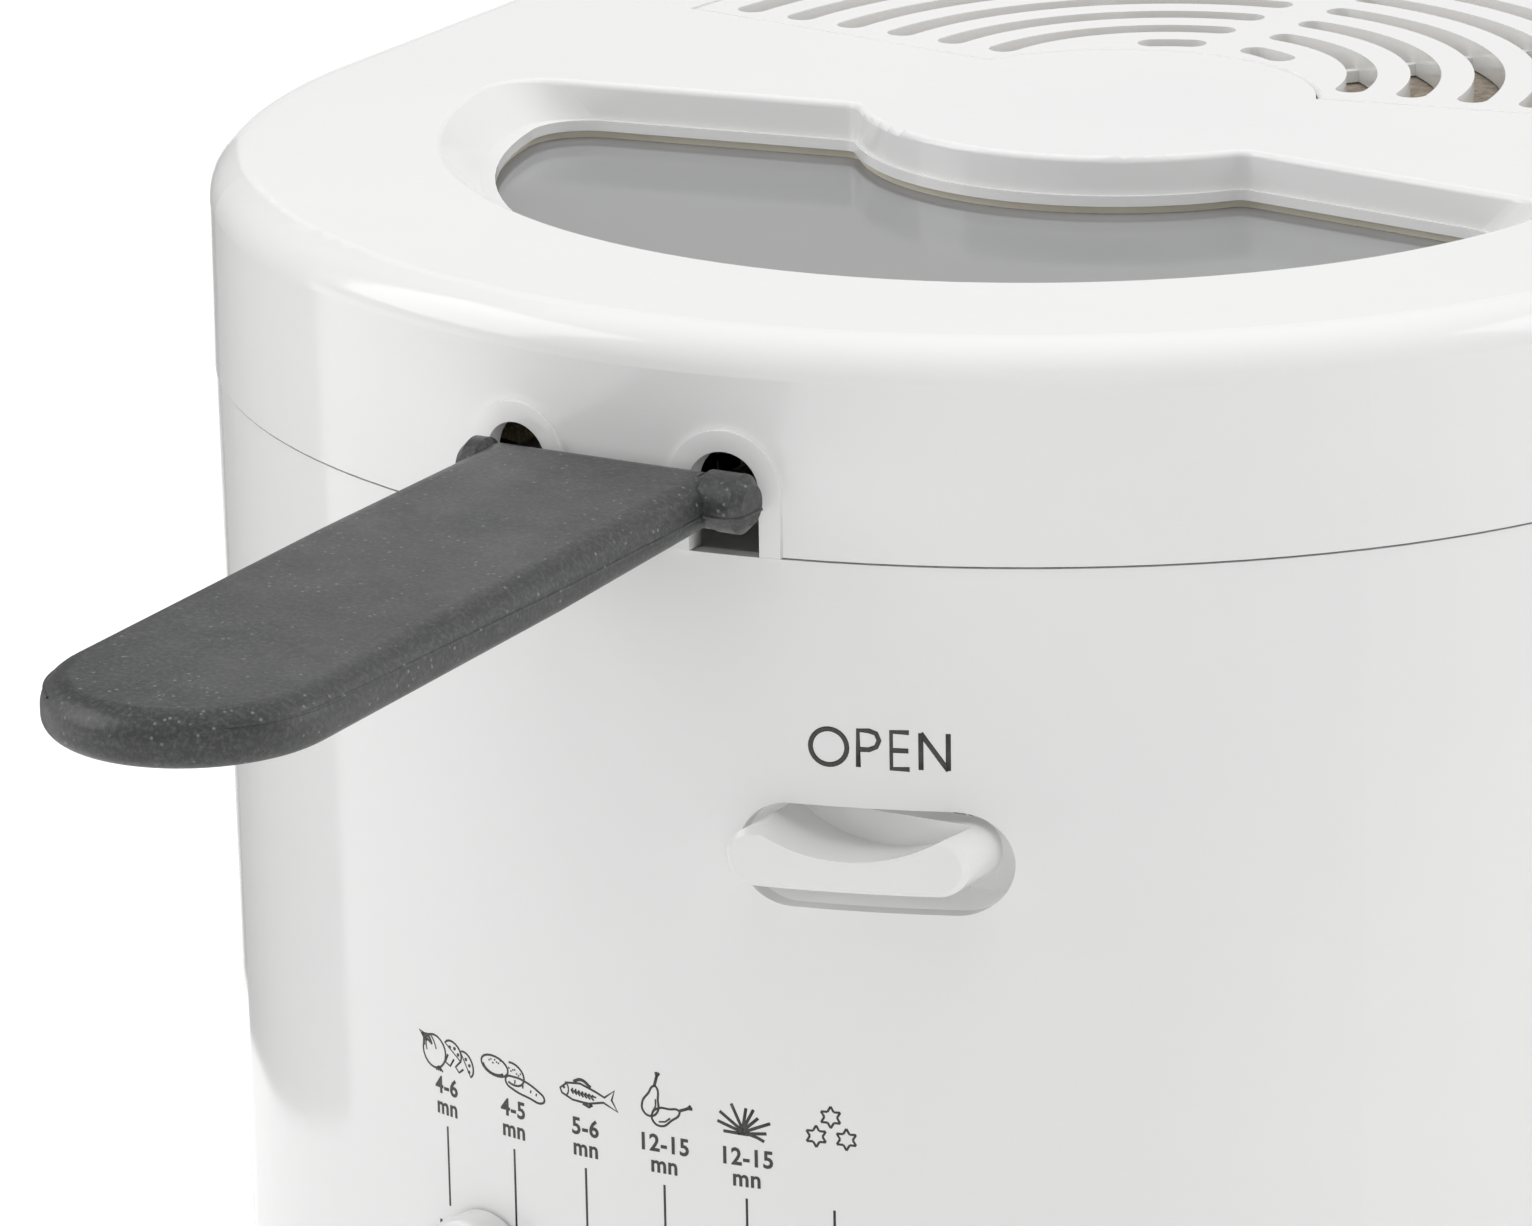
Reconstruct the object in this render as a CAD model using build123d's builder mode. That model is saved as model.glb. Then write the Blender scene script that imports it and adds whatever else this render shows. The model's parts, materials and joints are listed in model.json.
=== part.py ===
"""Compact electric deep fryer with a hinged lid, a window, a wire basket and a folding grip.

Millimetres, +Z up, standing on its feet at Z = 0. The front faces -Y and the machine is
symmetric about X = 0 apart from its controls. Nearly everything is struck about the
vertical axis of the round pot, which stands at Y = axis_y, so most pieces are drawn on
planes whose origin lies on that axis.
"""

import os
from math import acos, asin, atan, cos, degrees, pi, radians, sin, sqrt, tan

from build123d import *

os.makedirs("parts", exist_ok=True)

# ---- Plan shape shared by the body and the lid ------------------------------------------
front_radius = 124.0        # front of the lid, about the pot's axis
front_spread = 49.6         # degrees either side of the middle that this arc covers
cheek_radius = 107.7        # tighter arcs that run into the straight sides
rear_reach = 151.0          # pot's axis to the back wall
rear_corner = 36.0

# ---- Heights ---------------------------------------------------------------------------
body_height = 190.0         # ground to the parting between body and lid
lid_height = 31.7
parting_gap = 0.35
skirt_foot = 8.0            # ground to the lower edge of the body moulding

# ---- Body moulding ---------------------------------------------------------------------
body_wall = 2.5
body_draft = 0.66           # degrees, the body narrows towards its foot
seam_step = 0.2             # the body's rim stands this far inside the lid's skirt
deck_drop = 2.0             # rim of the body down to the deck that carries the pot
deck_thickness = 2.5

# ---- Lid moulding ----------------------------------------------------------------------
lid_wall = 2.6
lid_edge_radius = 6.2
skirt_split = 7.7           # lid's top down to where the skirt node meets the roof node
well_depth = 7.4            # lid's top down to the underside of the window's lip
well_wall = 3.0
well_edge = 1.0             # rounding where the recess meets the lid's top
well_top_radius = 89.6      # the recess round the window is a 45 degree bevel in front
pane_radius = 82.0
well_rear = 2.2             # rear side of the recess, beside the disc
well_rear_fall = 0.15       # and its slope towards the outside
well_corner = 9.0
bulge_radius = 40.2         # the round disc pushes into the recess
bulge_centre = 25.7
bulge_half_width = 32.5
bulge_blend = 3.0
lip_thickness = 1.6
lip_width = 0.6

# ---- Filter cover ----------------------------------------------------------------------
ring_centre = 40.0          # centre of the slotted rings, behind the pot's axis
cover_radius = 87.0
cover_front = 31.0          # front edge of the cover on the middle plane
cover_front_rise = 0.17     # and its slope towards the outside
disc_centre = 23.0          # round bare disc that the cover goes round
disc_radius = 31.0
cover_thickness = 4.5
slot_count = 7
slot_width = 4.7
slot_pitch = 9.72
first_slot_radius = 20.35
slot_start = 7.0            # degrees behind the sideways direction where slots begin
bridge_width = 6.4          # solid bridge down the middle of the grille
slot_margin = 2.5           # slots stay this far from the disc
cross_rib_angle = 52.0
cross_rib_width = 1.5
cross_rib_drop = 2.7        # ribs lie this far below the lid's top
seam = 0.3                  # gap round the cover
cover_ledge = 3.2           # ledge in the lid that the cover rests on
tray_wall = 2.4
tray_gap = 0.2
ledge_thickness = 1.8
cover_tab_x = 6.5           # rounded tabs behind the cover that it tips up on
cover_tab_width = 9.0
cover_tab_radius = 4.0      # about the cover's rear edge
cover_edge = 0.6
liner_rise = 18.8           # parting to the top of the lid's liner
liner_sheet = 1.2
liner_inset = 20.0
collar_foot = 4.0
collar_gap = 8.5            # width of the collar's gap beyond the wires' spacing
vent_length = 24.0
vent_width = 4.0
vent_rows = 7
pane_thickness = 3.0
window_gasket_thickness = 1.2
pane_overlap = 4.6          # pane reaches this far outside the recess's plan
gasket_set_back = 0.8
clamp_rim = 3.0
carbon_thickness = 3.0
filter_gap = 0.4
lid_boss_radius = 3.5
lid_boss_set_back = 28.0    # front bosses behind the lid's front
lid_boss_spread = 30.0      # degrees either side of the middle
lid_boss_side = 32.1        # rear bosses in from the sides and from the rear
lid_boss_rear = 39.0

# ---- Notches for the basket's wires ------------------------------------------------------
wire_spacing = 33.4         # between the two handle wires
notch_width = 10.4
notch_height = 14.65
notch_bead = 3.0
notch_bead_rise = 0.8

# ---- Pot, basket and heater --------------------------------------------------------------
pot_radius = 92.0
pot_wall = 1.5
pot_depth = 94.0            # parting down to the inside of the floor
pot_floor = 2.5
low_level = 38.0            # oil marks above the pot's floor
high_level = 56.0
mark_bow = 1.2
pot_chamfer = 12.0
flange_width = 7.0
pot_seat_gap = 1.0          # between the pot's wall and the hole in the deck
gasket_thickness = 1.2
level_mark_size = (24.0, 1.6)
level_mark_rise = 0.6
stud_radius = 2.0
stud_circle = 75.0
nut_radius = 4.4
nut_thickness = 3.2
thermostat_clamp = 19.0
thermostat_flange = 1.5
terminal_radius = 2.2
terminal_reach = 6.0        # element's ends below the reflector
clamp_land = 1.0            # metal left round the clamp's holes
element_circle = 58.0
element_radius = 4.4        # half the side of its pressed, flat-topped tube
element_sweep = 320.0
element_gap = 0.2
shield_radius = 84.0
shield_drop = 10.0          # pot's floor down to the reflector
shield_thickness = 0.8
shield_rim = 5.0
thermostat_radius = 13.0
thermostat_height = 11.0
cutout_radius = 7.0
cutout_height = 7.5
cutout_strap = (20.0, 5.0)
cutout_circle = 34.0

basket_top_radius = 82.6
basket_foot_radius = 75.0
basket_sheet = 0.8
basket_rim_drop = 6.0       # parting down to the top of the basket's rim
basket_depth = 74.0
basket_rim = 3.4
basket_columns = 30
basket_foot_wire = 2.6
basket_seat_gap = 0.3
foot_circle = 71.0
basket_foot_lap = 0.5       # feet run this far up past the lowest hoop's underside

# ---- Handle ----------------------------------------------------------------------------
handle_wire = 4.4           # diameter
wire_rise = 9.3             # wires and the grip's pivot above the parting
pivot_stand_off = 5.3       # lid's front to the grip's pivot
wire_drop = 51.0            # the wires turn down the basket's side by this much
wire_ease = 2.2             # the wire's bends are eased this far from each corner
wire_end_left = 20.6        # bent ends, measured from the middle
wire_end_right = 24.0
wire_slot_inner = 2.6       # slots in the grip, either side of the wire's centre line
wire_slot_outer = 3.5
wire_slot_size = 8.5        # square in side view, set back and down from the pivot
wire_slot_shift = 1.75
mould_offset = 1.7
grip_top_edge = 4.0
grip_bottom_edge = 2.5
barrel_edge = 1.4
grip_length = 121.1
grip_root_width = 38.2
grip_width = 40.6
grip_taper_length = 40.0
grip_droop = 1.5
grip_above = 4.3            # thickness above and below the mould line
grip_below = 3.2
grip_sag = 0.25             # mould line below the pivot at the root
grip_over = 4.0             # upper half runs back past the pivot
grip_corner = 9.0           # upper half's rear corners, seen from above
core_radius = 4.0           # round the pivot, inside the grip
stub_radius = 4.2           # ends that stand out of the grip's sides
stub_rise = 0.5
stub_start = 16.6
stub_left = 21.4
stub_right = 24.65
pivot_clearance = 0.06

# ---- Open button and lid catch -----------------------------------------------------------
button_x = 36.2
button_width = 33.2
button_height = 8.5
button_rise = 41.15         # parting down to the button's middle
button_stand_out = 7.3      # lid's front to the button's front face
button_set_back = 14.0      # lid's front to the button's back
scoop_radius = 24.0
scoop_depth = 4.7           # at the back of the scoop
scoop_tilt = 4.0            # it rises to the front by this angle
scoop_set_back = 11.5       # lid's front to the end of the scoop
recess_width = 37.6
recess_height = 15.2
recess_rise = 42.9
recess_set_back = 22.5      # lid's front to the recess's floor
recess_wall = 2.0
stem_x = 31.0
stem_width = 8.0
stem_height = 5.0
stem_clearance = 0.08
stem_length = 11.1
spring_x = 42.5
spring_post = 2.0
spring_wire = 0.6
spring_radius = 3.1
spring_turns = 5
spring_post_length = 4.5
button_edge = 0.8

catch_x = 31.0
lever_width = 8.0
lever_thickness = 2.5
lever_pivot_drop = 16.0
lever_pivot_set_back = 20.0     # the lever's places are measured from the lid's front
lever_face_set_back = 25.4      # face that the button's stem pushes
lever_arm_set_back = 13.0
lever_foot_drop = 4.0           # button's middle to the lever's foot
lever_waist = 4.0               # lever's half width at its pin
lever_top = 8.0
nose_foot = 4.3
nose_length = 2.7
nose_edge = 0.8
catch_slot_play = 2.6           # the arm swings forward in the deck's slot
catch_pin_radius = 1.5
catch_ear = 2.0
catch_ear_width = 4.0
catch_ear_splay = 2.0
ledge_gap = 0.3
ledge_length = 3.0
ledge_height = 3.0
strike_thickness = 1.6
strike_foot = 1.0           # the ledge stands this far above the parting

# ---- Temperature control -----------------------------------------------------------------
first_mark = -15.7          # degrees to the right of the middle
last_mark = 14.4
set_mark = -12.6            # where the cursor stands
track_height = 74.3
track_width = 5.0
track_run_out = 3.0         # degrees of slot past the first and last mark
cursor_width = 17.0
cursor_length = 21.4
cursor_gap = 1.0            # body's widest radius to the back of the cursor, inwards
cursor_stand_out = 4.0
cursor_depth = 6.0          # skirt of the cursor behind its face
cursor_ridge = 2.0
cursor_edge = 1.4
cursor_ridge_rise = 0.6
lever_plate = 2.4
neck_height = 3.2
neck_width = 6.0
neck_entry = 2.5
neck_play = 0.2
hub_radius = 7.0
spindle_radius = 3.0
spindle_engagement = 4.0
running_clearance = 0.05

# ---- Lamp, gland and feet ------------------------------------------------------------------
lamp_angle = 26.0
lens_radius = 3.9
lens_flange = 5.2
lens_seat_gap = 0.1
back_half = 80.0            # half width of the rear wall's node
gland_x = 60.0
gland_height = 34.0
gland_bore = 3.7
gland_neck = 7.0
gland_flange = 10.0
gland_lip = 3.0
gland_tail = 5.0
gland_collar = 2.0
terminal_size = (30.0, 14.0, 12.0)
terminal_pitch = 9.0
terminal_hole = 2.2
terminal_hole_depth = 6.0
lamp_length = 12.0
lens_tail = 1.0
lens_rim = 1.6
foot_radius = 9.0
foot_stem = 3.0
foot_stem_proud = 1.0       # stems end this far above the base plate
foot_edge = 1.0
base_thickness = 2.5
base_gap = 0.3
boss_radius = 4.5
boss_height = 20.0
base_screw_set_back = 8.8   # front screws behind the front, at an angle from the middle
base_screw_spread = 38.4
base_screw_side = 8.8       # rear screws in from the sides and from the rear
base_screw_rear = 61.0
foot_set_back = 28.0
foot_spread = 51.3
foot_side = 30.3
foot_rear = 36.0
screw_radius = 1.7
screw_head_radius = 3.4
screw_head = 2.2
screw_length = 10.0

# ---- Hinge -----------------------------------------------------------------------------
hinge_stand_off = 5.5       # back wall to the hinge's axis
knuckle_radius = 5.0
pin_radius = 2.0
ear_inner = 44.0
ear_width = 8.0
lug_width = 9.0
knuckle_gap = 0.5
pin_head = 1.5
pin_overhang = 2.0

# ---- Places worked out from the sizes above ------------------------------------------------
lid_foot = body_height + parting_gap
lid_top = body_height + lid_height
deck_top = body_height - deck_drop
deck_under = deck_top - deck_thickness
pane_level = lid_top - well_depth
draft = tan(radians(body_draft))
cheek_x = (front_radius - cheek_radius) * sin(radians(front_spread))
cheek_y = -(front_radius - cheek_radius) * cos(radians(front_spread))
half_width = cheek_x + cheek_radius
pivot_reach = front_radius + pivot_stand_off
grip_reach = pivot_reach + grip_length * cos(radians(grip_droop))
back_reach = rear_reach + hinge_stand_off + knuckle_radius
axis_y = (grip_reach - back_reach) / 2
pot_axis = Axis((0, axis_y, 0), (0, 0, 1))
flange_top = deck_top + gasket_thickness + pot_wall
pot_floor_top = body_height - pot_depth
pot_under = pot_floor_top - pot_floor
wire_level = body_height + wire_rise
wire_x = wire_spacing / 2
base_top = skirt_foot + base_gap + base_thickness


def level(height):
    """Horizontal plane at a height, with its origin on the pot's axis."""
    return Plane(origin=(0, axis_y, height))


def side(x):
    """Plane across the machine at x: local x runs to the rear and local y up."""
    return Plane(origin=(x, axis_y, 0), x_dir=(0, 1, 0), z_dir=(1, 0, 0))


def facing(y):
    """Upright plane at y from the pot's axis, seen from the front: local x is X, local y up."""
    return Plane(origin=(0, axis_y + y, 0), x_dir=(1, 0, 0), z_dir=(0, -1, 0))


def radial(angle, height, radius=0.0):
    """Upright plane facing outwards, angle degrees to the right of the front."""
    out = (sin(radians(angle)), -cos(radians(angle)))
    return Plane(
        origin=(radius * out[0], axis_y + radius * out[1], height),
        x_dir=(-out[1], out[0], 0),
        z_dir=(out[0], out[1], 0),
    )


def profile_plane(angle=0.0):
    """Half plane through the pot's axis: local x is the radius and local y the height."""
    out = (cos(radians(angle)), sin(radians(angle)))
    return Plane(origin=(0, axis_y, 0), x_dir=(out[0], out[1], 0), z_dir=(out[1], -out[0], 0))


def wall_inset(height):
    """How far the body's outer face stands inside the lid's plan at a height."""
    return seam_step + draft * (body_height - height)


def plan_outline(inset):
    """Plan of the housing, moved in by inset."""
    side_x = half_width - inset
    back = rear_reach - inset
    corner = rear_corner - inset
    with BuildSketch() as plan:
        with BuildLine():
            CenterArc((0, 0), front_radius - inset, -90, front_spread)
            CenterArc((cheek_x, cheek_y), cheek_radius - inset, front_spread - 90, 90 - front_spread)
            Line((side_x, cheek_y), (side_x, back - corner))
            CenterArc((side_x - corner, back - corner), corner, 0, 90)
            Line((side_x - corner, back), (0, back))
            mirror(about=Plane.YZ)
        make_face()
    return plan.sketch


def grown(shape, amount):
    """A flat outline moved out by amount, or in if amount is negative."""
    with BuildSketch() as result:
        add(shape)
        offset(amount=amount)
    return result.sketch


def sector(inner, outer, start, end):
    """Flat piece of a ring; angles run from the front, positive to the right."""
    with BuildSketch() as piece:
        with BuildLine():
            near = CenterArc((0, 0), inner, start - 90, end - start)
            far = CenterArc((0, 0), outer, start - 90, end - start)
            Line(near @ 0, far @ 0)
            Line(near @ 1, far @ 1)
        make_face()
    return piece.sketch


def ahead_of_filter():
    """Everything in front of the recess's rear side, with the disc's bulge taken out."""
    wide = front_radius
    outer_y = well_rear - well_rear_fall * (wide - bulge_half_width)
    with BuildSketch() as region:
        with BuildLine():
            Polyline(
                (0, well_rear),
                (bulge_half_width, well_rear),
                (wide, outer_y),
                (wide, -wide),
                (0, -wide),
                close=True,
            )
        make_face()
        mirror(about=Plane.YZ)
        with Locations((0, bulge_centre)):
            Circle(bulge_radius, mode=Mode.SUBTRACT)
        joins = region.vertices().filter_by_position(Axis.Y, -1, well_rear + 1)
        fillet(joins.filter_by_position(Axis.X, -wide / 2, wide / 2), bulge_blend)
    return region.sketch


def window_outline(radius=pane_radius, growth=0.0):
    """Plan of the window for one radius of its front edge, moved out by growth."""
    with BuildSketch() as outline:
        add(grown(ahead_of_filter(), growth) if growth else ahead_of_filter())
        Circle(radius + growth, mode=Mode.INTERSECT)
        ends = outline.vertices().group_by(Axis.X)
        fillet(ends[0] + ends[-1], well_corner + growth)
    return outline.sketch


def window_well(growth, bottom, top):
    """Solid of the recess round the window: a bevel in front, upright walls behind."""
    slope = (well_top_radius - pane_radius) / well_depth
    with BuildPart() as well:
        for height in (bottom, top):
            with BuildSketch(level(height)):
                add(window_outline(pane_radius + slope * (height - pane_level), growth))
        loft(ruled=True)
    return well.part


def cover_outline():
    """Plan of the filter cover: a half disc with a bay for the bare disc in front."""
    reach = cover_radius + 20
    edge = cover_front + cover_front_rise * reach
    with BuildSketch() as outline:
        with Locations((0, ring_centre)):
            Circle(cover_radius)
        Polygon(
            (0, cover_front), (reach, edge), (reach, -reach), (-reach, -reach), (-reach, edge),
            align=None, mode=Mode.SUBTRACT,
        )
        with Locations((0, disc_centre)):
            Circle(disc_radius, mode=Mode.SUBTRACT)
    return outline.sketch


def coil(start, direction, radius, wire, length, turns, steps=10):
    """Compression or torsion spring as a many-sided helix, on an axis from start."""
    frame = Plane(origin=start, z_dir=direction)
    count = turns * steps
    points = [
        frame.from_local_coords((
            radius * cos(radians(360 * i / steps)),
            radius * sin(radians(360 * i / steps)),
            length * i / count,
        ))
        for i in range(count + 1)
    ]
    with BuildPart() as spring:
        with BuildLine() as path:
            Polyline(points)
        with BuildSketch(Plane(origin=path.line @ 0, z_dir=path.line % 0)):
            RegularPolygon(wire / 2, 6)
        sweep(transition=Transition.RIGHT)
    return spring.part


def mirrored(*places):
    """Places given on the right of the machine, repeated on the left."""
    return [(side_sign * x, y) for x, y in places for side_sign in (-1, 1)]


def ahead(spread, set_back):
    """Place behind the curved front, spread degrees from the middle."""
    reach = front_radius - set_back
    return reach * sin(radians(spread)), -reach * cos(radians(spread))


def save(piece, name):
    """Label a finished piece and write it."""
    piece.label = name
    export_step(piece, f"parts/{name}.step")


def notch_outline(growth, foot):
    """Both arched notches seen from the front, widened by growth and open down to foot."""
    half = notch_width / 2 + growth
    spring_line = lid_foot + notch_height - notch_width / 2
    with BuildSketch() as arch:
        for x in (-wire_x, wire_x):
            with Locations((x, spring_line)):
                Circle(half)
            with Locations((x, (spring_line + foot) / 2)):
                Rectangle(2 * half, spring_line - foot)
    return arch.sketch


def raised(outline, bottom, top):
    """Upright solid of an outline that is drawn about the pot's axis."""
    with BuildPart() as block:
        with BuildSketch(level(bottom)):
            add(outline)
        extrude(amount=top - bottom)
    return block.part


def ring_between(outer, inner, bottom, top):
    """Upright ring between two outlines."""
    with BuildPart() as ring:
        with BuildSketch(level(bottom)):
            add(outer)
            add(inner, mode=Mode.SUBTRACT)
        extrude(amount=top - bottom)
    return ring.part


def pins(places, radius, bottom, top):
    """Upright round pins at places given from the pot's axis."""
    with BuildPart() as group:
        with BuildSketch(level(bottom)):
            with Locations(places):
                Circle(radius)
        extrude(amount=top - bottom)
    return group.part


def across(points, start, width):
    """Solid of a closed outline in (y, height), width wide in +X from start."""
    with BuildPart() as block:
        with BuildSketch(side(start)):
            with BuildLine():
                Polyline(points, close=True)
            make_face()
        extrude(amount=width)
    return block.part


def barrel(start, width, y, height, radius):
    """Round bar along X."""
    with BuildPart() as bar:
        with BuildSketch(side(start)):
            with Locations((y, height)):
                Circle(radius)
        extrude(amount=width)
    return bar.part


def turned(points):
    """Solid of a closed outline in (radius, height) turned about the pot's axis."""
    with BuildPart() as body:
        with BuildSketch(profile_plane()) as half:
            with BuildLine():
                Polyline(points, close=True)
            make_face()
        revolve(half.sketch, axis=pot_axis)
    return body.part


cover_plan = cover_outline()
cover_under = lid_top - cover_thickness
cover_opening = grown(cover_plan, seam)
tray_outside = grown(cover_plan, seam + tray_wall)
tray_inside = grown(cover_plan, -cover_ledge)
tray_wall_outside = grown(cover_plan, tray_wall - cover_ledge)
ledge_level = cover_under - tray_gap
ledge_under = ledge_level - ledge_thickness
liner_top = body_height + liner_rise
liner_under = liner_top - liner_sheet
tray_foot = liner_top + base_gap
lip_top = pane_level + lip_thickness
roof = lid_top - lid_wall
roof_middle = roof + lid_wall / 2
hinge_y = rear_reach + hinge_stand_off
strike_level = body_height + strike_foot
lever_arm_y = lever_arm_set_back - front_radius
lever_pivot_y = lever_pivot_set_back - front_radius
lever_face_y = lever_face_set_back - front_radius
arm_in = lever_arm_y + lever_thickness
nose_tip_y = arm_in + nose_length
ledge_tip_y = nose_tip_y + ledge_gap
ledge_back = ledge_tip_y + ledge_length
strike_y = ledge_back + strike_thickness
cover_rear = ring_centre + cover_radius
lid_screw_places = mirrored(
    ahead(lid_boss_spread, lid_boss_set_back),
    (half_width - lid_boss_side, rear_reach - lid_boss_rear),
)
lug_starts = (-ear_inner + knuckle_gap, ear_inner - knuckle_gap - lug_width)


# ======== Lid ===============================================================================
with BuildPart() as lid_moulding:
    with BuildSketch(level(lid_foot)):
        add(plan_outline(0))
    extrude(amount=lid_top - lid_foot)
    fillet(lid_moulding.edges().group_by(Axis.Z)[-1], lid_edge_radius)
    with BuildPart(mode=Mode.PRIVATE) as room:
        with BuildSketch(level(lid_foot)):
            add(plan_outline(lid_wall))
        extrude(amount=roof - lid_foot)
        chamfer(room.edges().group_by(Axis.Z)[-1], lid_edge_radius - lid_wall)
    add(room.part, mode=Mode.SUBTRACT)
    # recess round the window, let down into the roof, with the lip that the pane lies under
    add(window_well(well_wall, pane_level, roof_middle))
    add(window_well(0, lip_top, lid_top + 1), mode=Mode.SUBTRACT)
    top_edges = lid_moulding.edges().group_by(Axis.Z)[-1]
    well_front = axis_y - well_top_radius - 1
    fillet(top_edges.filter_by_position(Axis.Y, well_front, axis_y + well_rear + 1), well_edge)
    add(raised(window_outline(growth=-lip_width), pane_level - 1, lip_top + 1), mode=Mode.SUBTRACT)
    # tray for the filters, with the ledge that carries their cover
    add(raised(tray_outside, ledge_under, roof_middle))
    add(raised(tray_wall_outside, tray_foot, ledge_level))
    add(raised(tray_inside, tray_foot - 1, ledge_level + 1), mode=Mode.SUBTRACT)
    add(raised(cover_opening, ledge_level, lid_top + 1), mode=Mode.SUBTRACT)
    # pockets under the roof for the cover's tabs
    with BuildSketch(level(ledge_level)):
        with Locations((-cover_tab_x, cover_rear), (cover_tab_x, cover_rear)):
            Rectangle(cover_tab_width + 2 * seam, 2 * (cover_tab_radius + seam))
    extrude(amount=roof - ledge_level, mode=Mode.SUBTRACT)
    # screw bosses for the liner
    add(pins(lid_screw_places, lid_boss_radius, tray_foot, roof_middle))
    add(pins(lid_screw_places, screw_radius, tray_foot, tray_foot + screw_length), mode=Mode.SUBTRACT)
    # wall inside the skirt that the catch hooks under
    catch_wall = [
        (strike_y, roof_middle),
        (ledge_back, roof_middle),
        (ledge_back, strike_level + ledge_height),
        (ledge_tip_y, strike_level + ledge_height),
        (ledge_back, strike_level),
        (strike_y, strike_level),
    ]
    add(across(catch_wall, catch_x - lever_width / 2, lever_width))
    # arched notches for the basket's wires, each with a raised bead
    with BuildPart(mode=Mode.PRIVATE) as beads:
        with BuildSketch(facing(0)):
            add(notch_outline(notch_bead, lid_foot))
        extrude(amount=front_radius + 2)
        add(ring_between(plan_outline(-notch_bead_rise), plan_outline(lid_wall), lid_foot, roof),
            mode=Mode.INTERSECT)
    add(beads.part)
    with BuildSketch(facing(0)):
        add(notch_outline(0, lid_foot - 1))
    extrude(amount=front_radius + 2, mode=Mode.SUBTRACT)

# the lid moulding is kept as four simple nodes that meet: skirt, notch beads, roof and tray, lugs
skirt_zone = ring_between(plan_outline(-notch_bead_rise - 1), plan_outline(lid_wall),
                          lid_foot, lid_top - skirt_split)

with BuildPart() as bead_zone:
    with BuildSketch(facing(0)):
        add(notch_outline(notch_bead, lid_foot))
    extrude(amount=front_radius + 2)

with BuildPart() as notch_beads:
    add(lid_moulding.part)
    add(skirt_zone, mode=Mode.INTERSECT)
    add(bead_zone.part, mode=Mode.INTERSECT)
save(notch_beads.part, "notch_beads")

with BuildPart() as lid_skirt:
    add(lid_moulding.part)
    add(skirt_zone, mode=Mode.INTERSECT)
    add(bead_zone.part, mode=Mode.SUBTRACT)
save(lid_skirt.part, "lid_skirt")

with BuildPart() as lid_shell:
    add(lid_moulding.part)
    add(skirt_zone, mode=Mode.SUBTRACT)
save(lid_shell.part, "lid_shell")

with BuildPart() as lid_lugs:
    lug_web = [
        (rear_reach - lid_wall / 2, lid_foot),
        (hinge_y - knuckle_radius * 0.9, lid_foot),
        (hinge_y + knuckle_radius * 0.8, body_height + knuckle_radius * 0.6),
        (rear_reach - lid_wall / 2, body_height + 3 * knuckle_radius),
    ]
    for start in lug_starts:
        add(across(lug_web, start, lug_width))
        add(barrel(start, lug_width, hinge_y, body_height, knuckle_radius))
        add(barrel(start, lug_width, hinge_y, body_height, pin_radius + running_clearance),
            mode=Mode.SUBTRACT)
    add(raised(plan_outline(0), lid_foot, lid_top), mode=Mode.SUBTRACT)
save(lid_lugs.part, "lid_lugs")

with BuildPart() as window_gasket:
    seal_top = pane_level
    seal_foot = seal_top - window_gasket_thickness
    add(ring_between(window_outline(growth=pane_overlap - gasket_set_back),
                     window_outline(growth=gasket_set_back - lip_width), seal_foot, seal_top))
save(window_gasket.part, "window_gasket")

with BuildPart() as window_pane:
    pane_foot = seal_foot - pane_thickness
    add(raised(window_outline(growth=pane_overlap), pane_foot, seal_foot))
save(window_pane.part, "window_pane")

with BuildPart() as lid_inner:
    add(raised(plan_outline(liner_inset), liner_under, liner_top))
    add(ring_between(plan_outline(liner_inset), plan_outline(liner_inset + liner_sheet),
                     body_height + collar_foot, liner_under))
    # upturned rim that clamps the pane
    add(ring_between(window_outline(growth=pane_overlap - gasket_set_back),
                     window_outline(growth=pane_overlap - gasket_set_back - clamp_rim),
                     liner_top, pane_foot))
    add(raised(window_outline(growth=pane_overlap - gasket_set_back - clamp_rim),
               liner_under - 1, liner_top + 1), mode=Mode.SUBTRACT)
    # steam vents under the filters
    with BuildSketch(level(liner_under)):
        with Locations((0, (cover_front + cover_rear) / 2 - vent_length / 3)):
            with GridLocations(3 * vent_width, vent_length * 4 / 3, vent_rows, 2):
                Rectangle(vent_width, vent_length)
    extrude(amount=liner_sheet, mode=Mode.SUBTRACT)
    # screw holes and the gap in the collar that the basket's wires pass through
    add(pins(lid_screw_places, screw_radius + base_gap, liner_under, liner_top), mode=Mode.SUBTRACT)
    with BuildSketch(facing(0)):
        with Locations((0, body_height)):
            Rectangle(wire_spacing + collar_gap, 2 * (liner_rise - liner_sheet))
    extrude(amount=front_radius, mode=Mode.SUBTRACT)
save(lid_inner.part, "lid_inner")

with BuildPart() as carbon_filter:
    filter_plan = grown(cover_plan, -cover_ledge - filter_gap)
    carbon_top = liner_top + tray_gap + carbon_thickness
    add(raised(filter_plan, liner_top + tray_gap, carbon_top))
save(carbon_filter.part, "carbon_filter")

with BuildPart() as grease_filter:
    add(raised(filter_plan, carbon_top + base_gap, cover_under - base_gap))
save(grease_filter.part, "grease_filter")

with BuildPart() as lid_screws:
    add(pins(lid_screw_places, screw_head_radius, liner_under - screw_head, liner_under))
    add(pins(lid_screw_places, screw_radius, liner_under, liner_under + screw_length))
save(lid_screws.part, "lid_screws")

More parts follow.
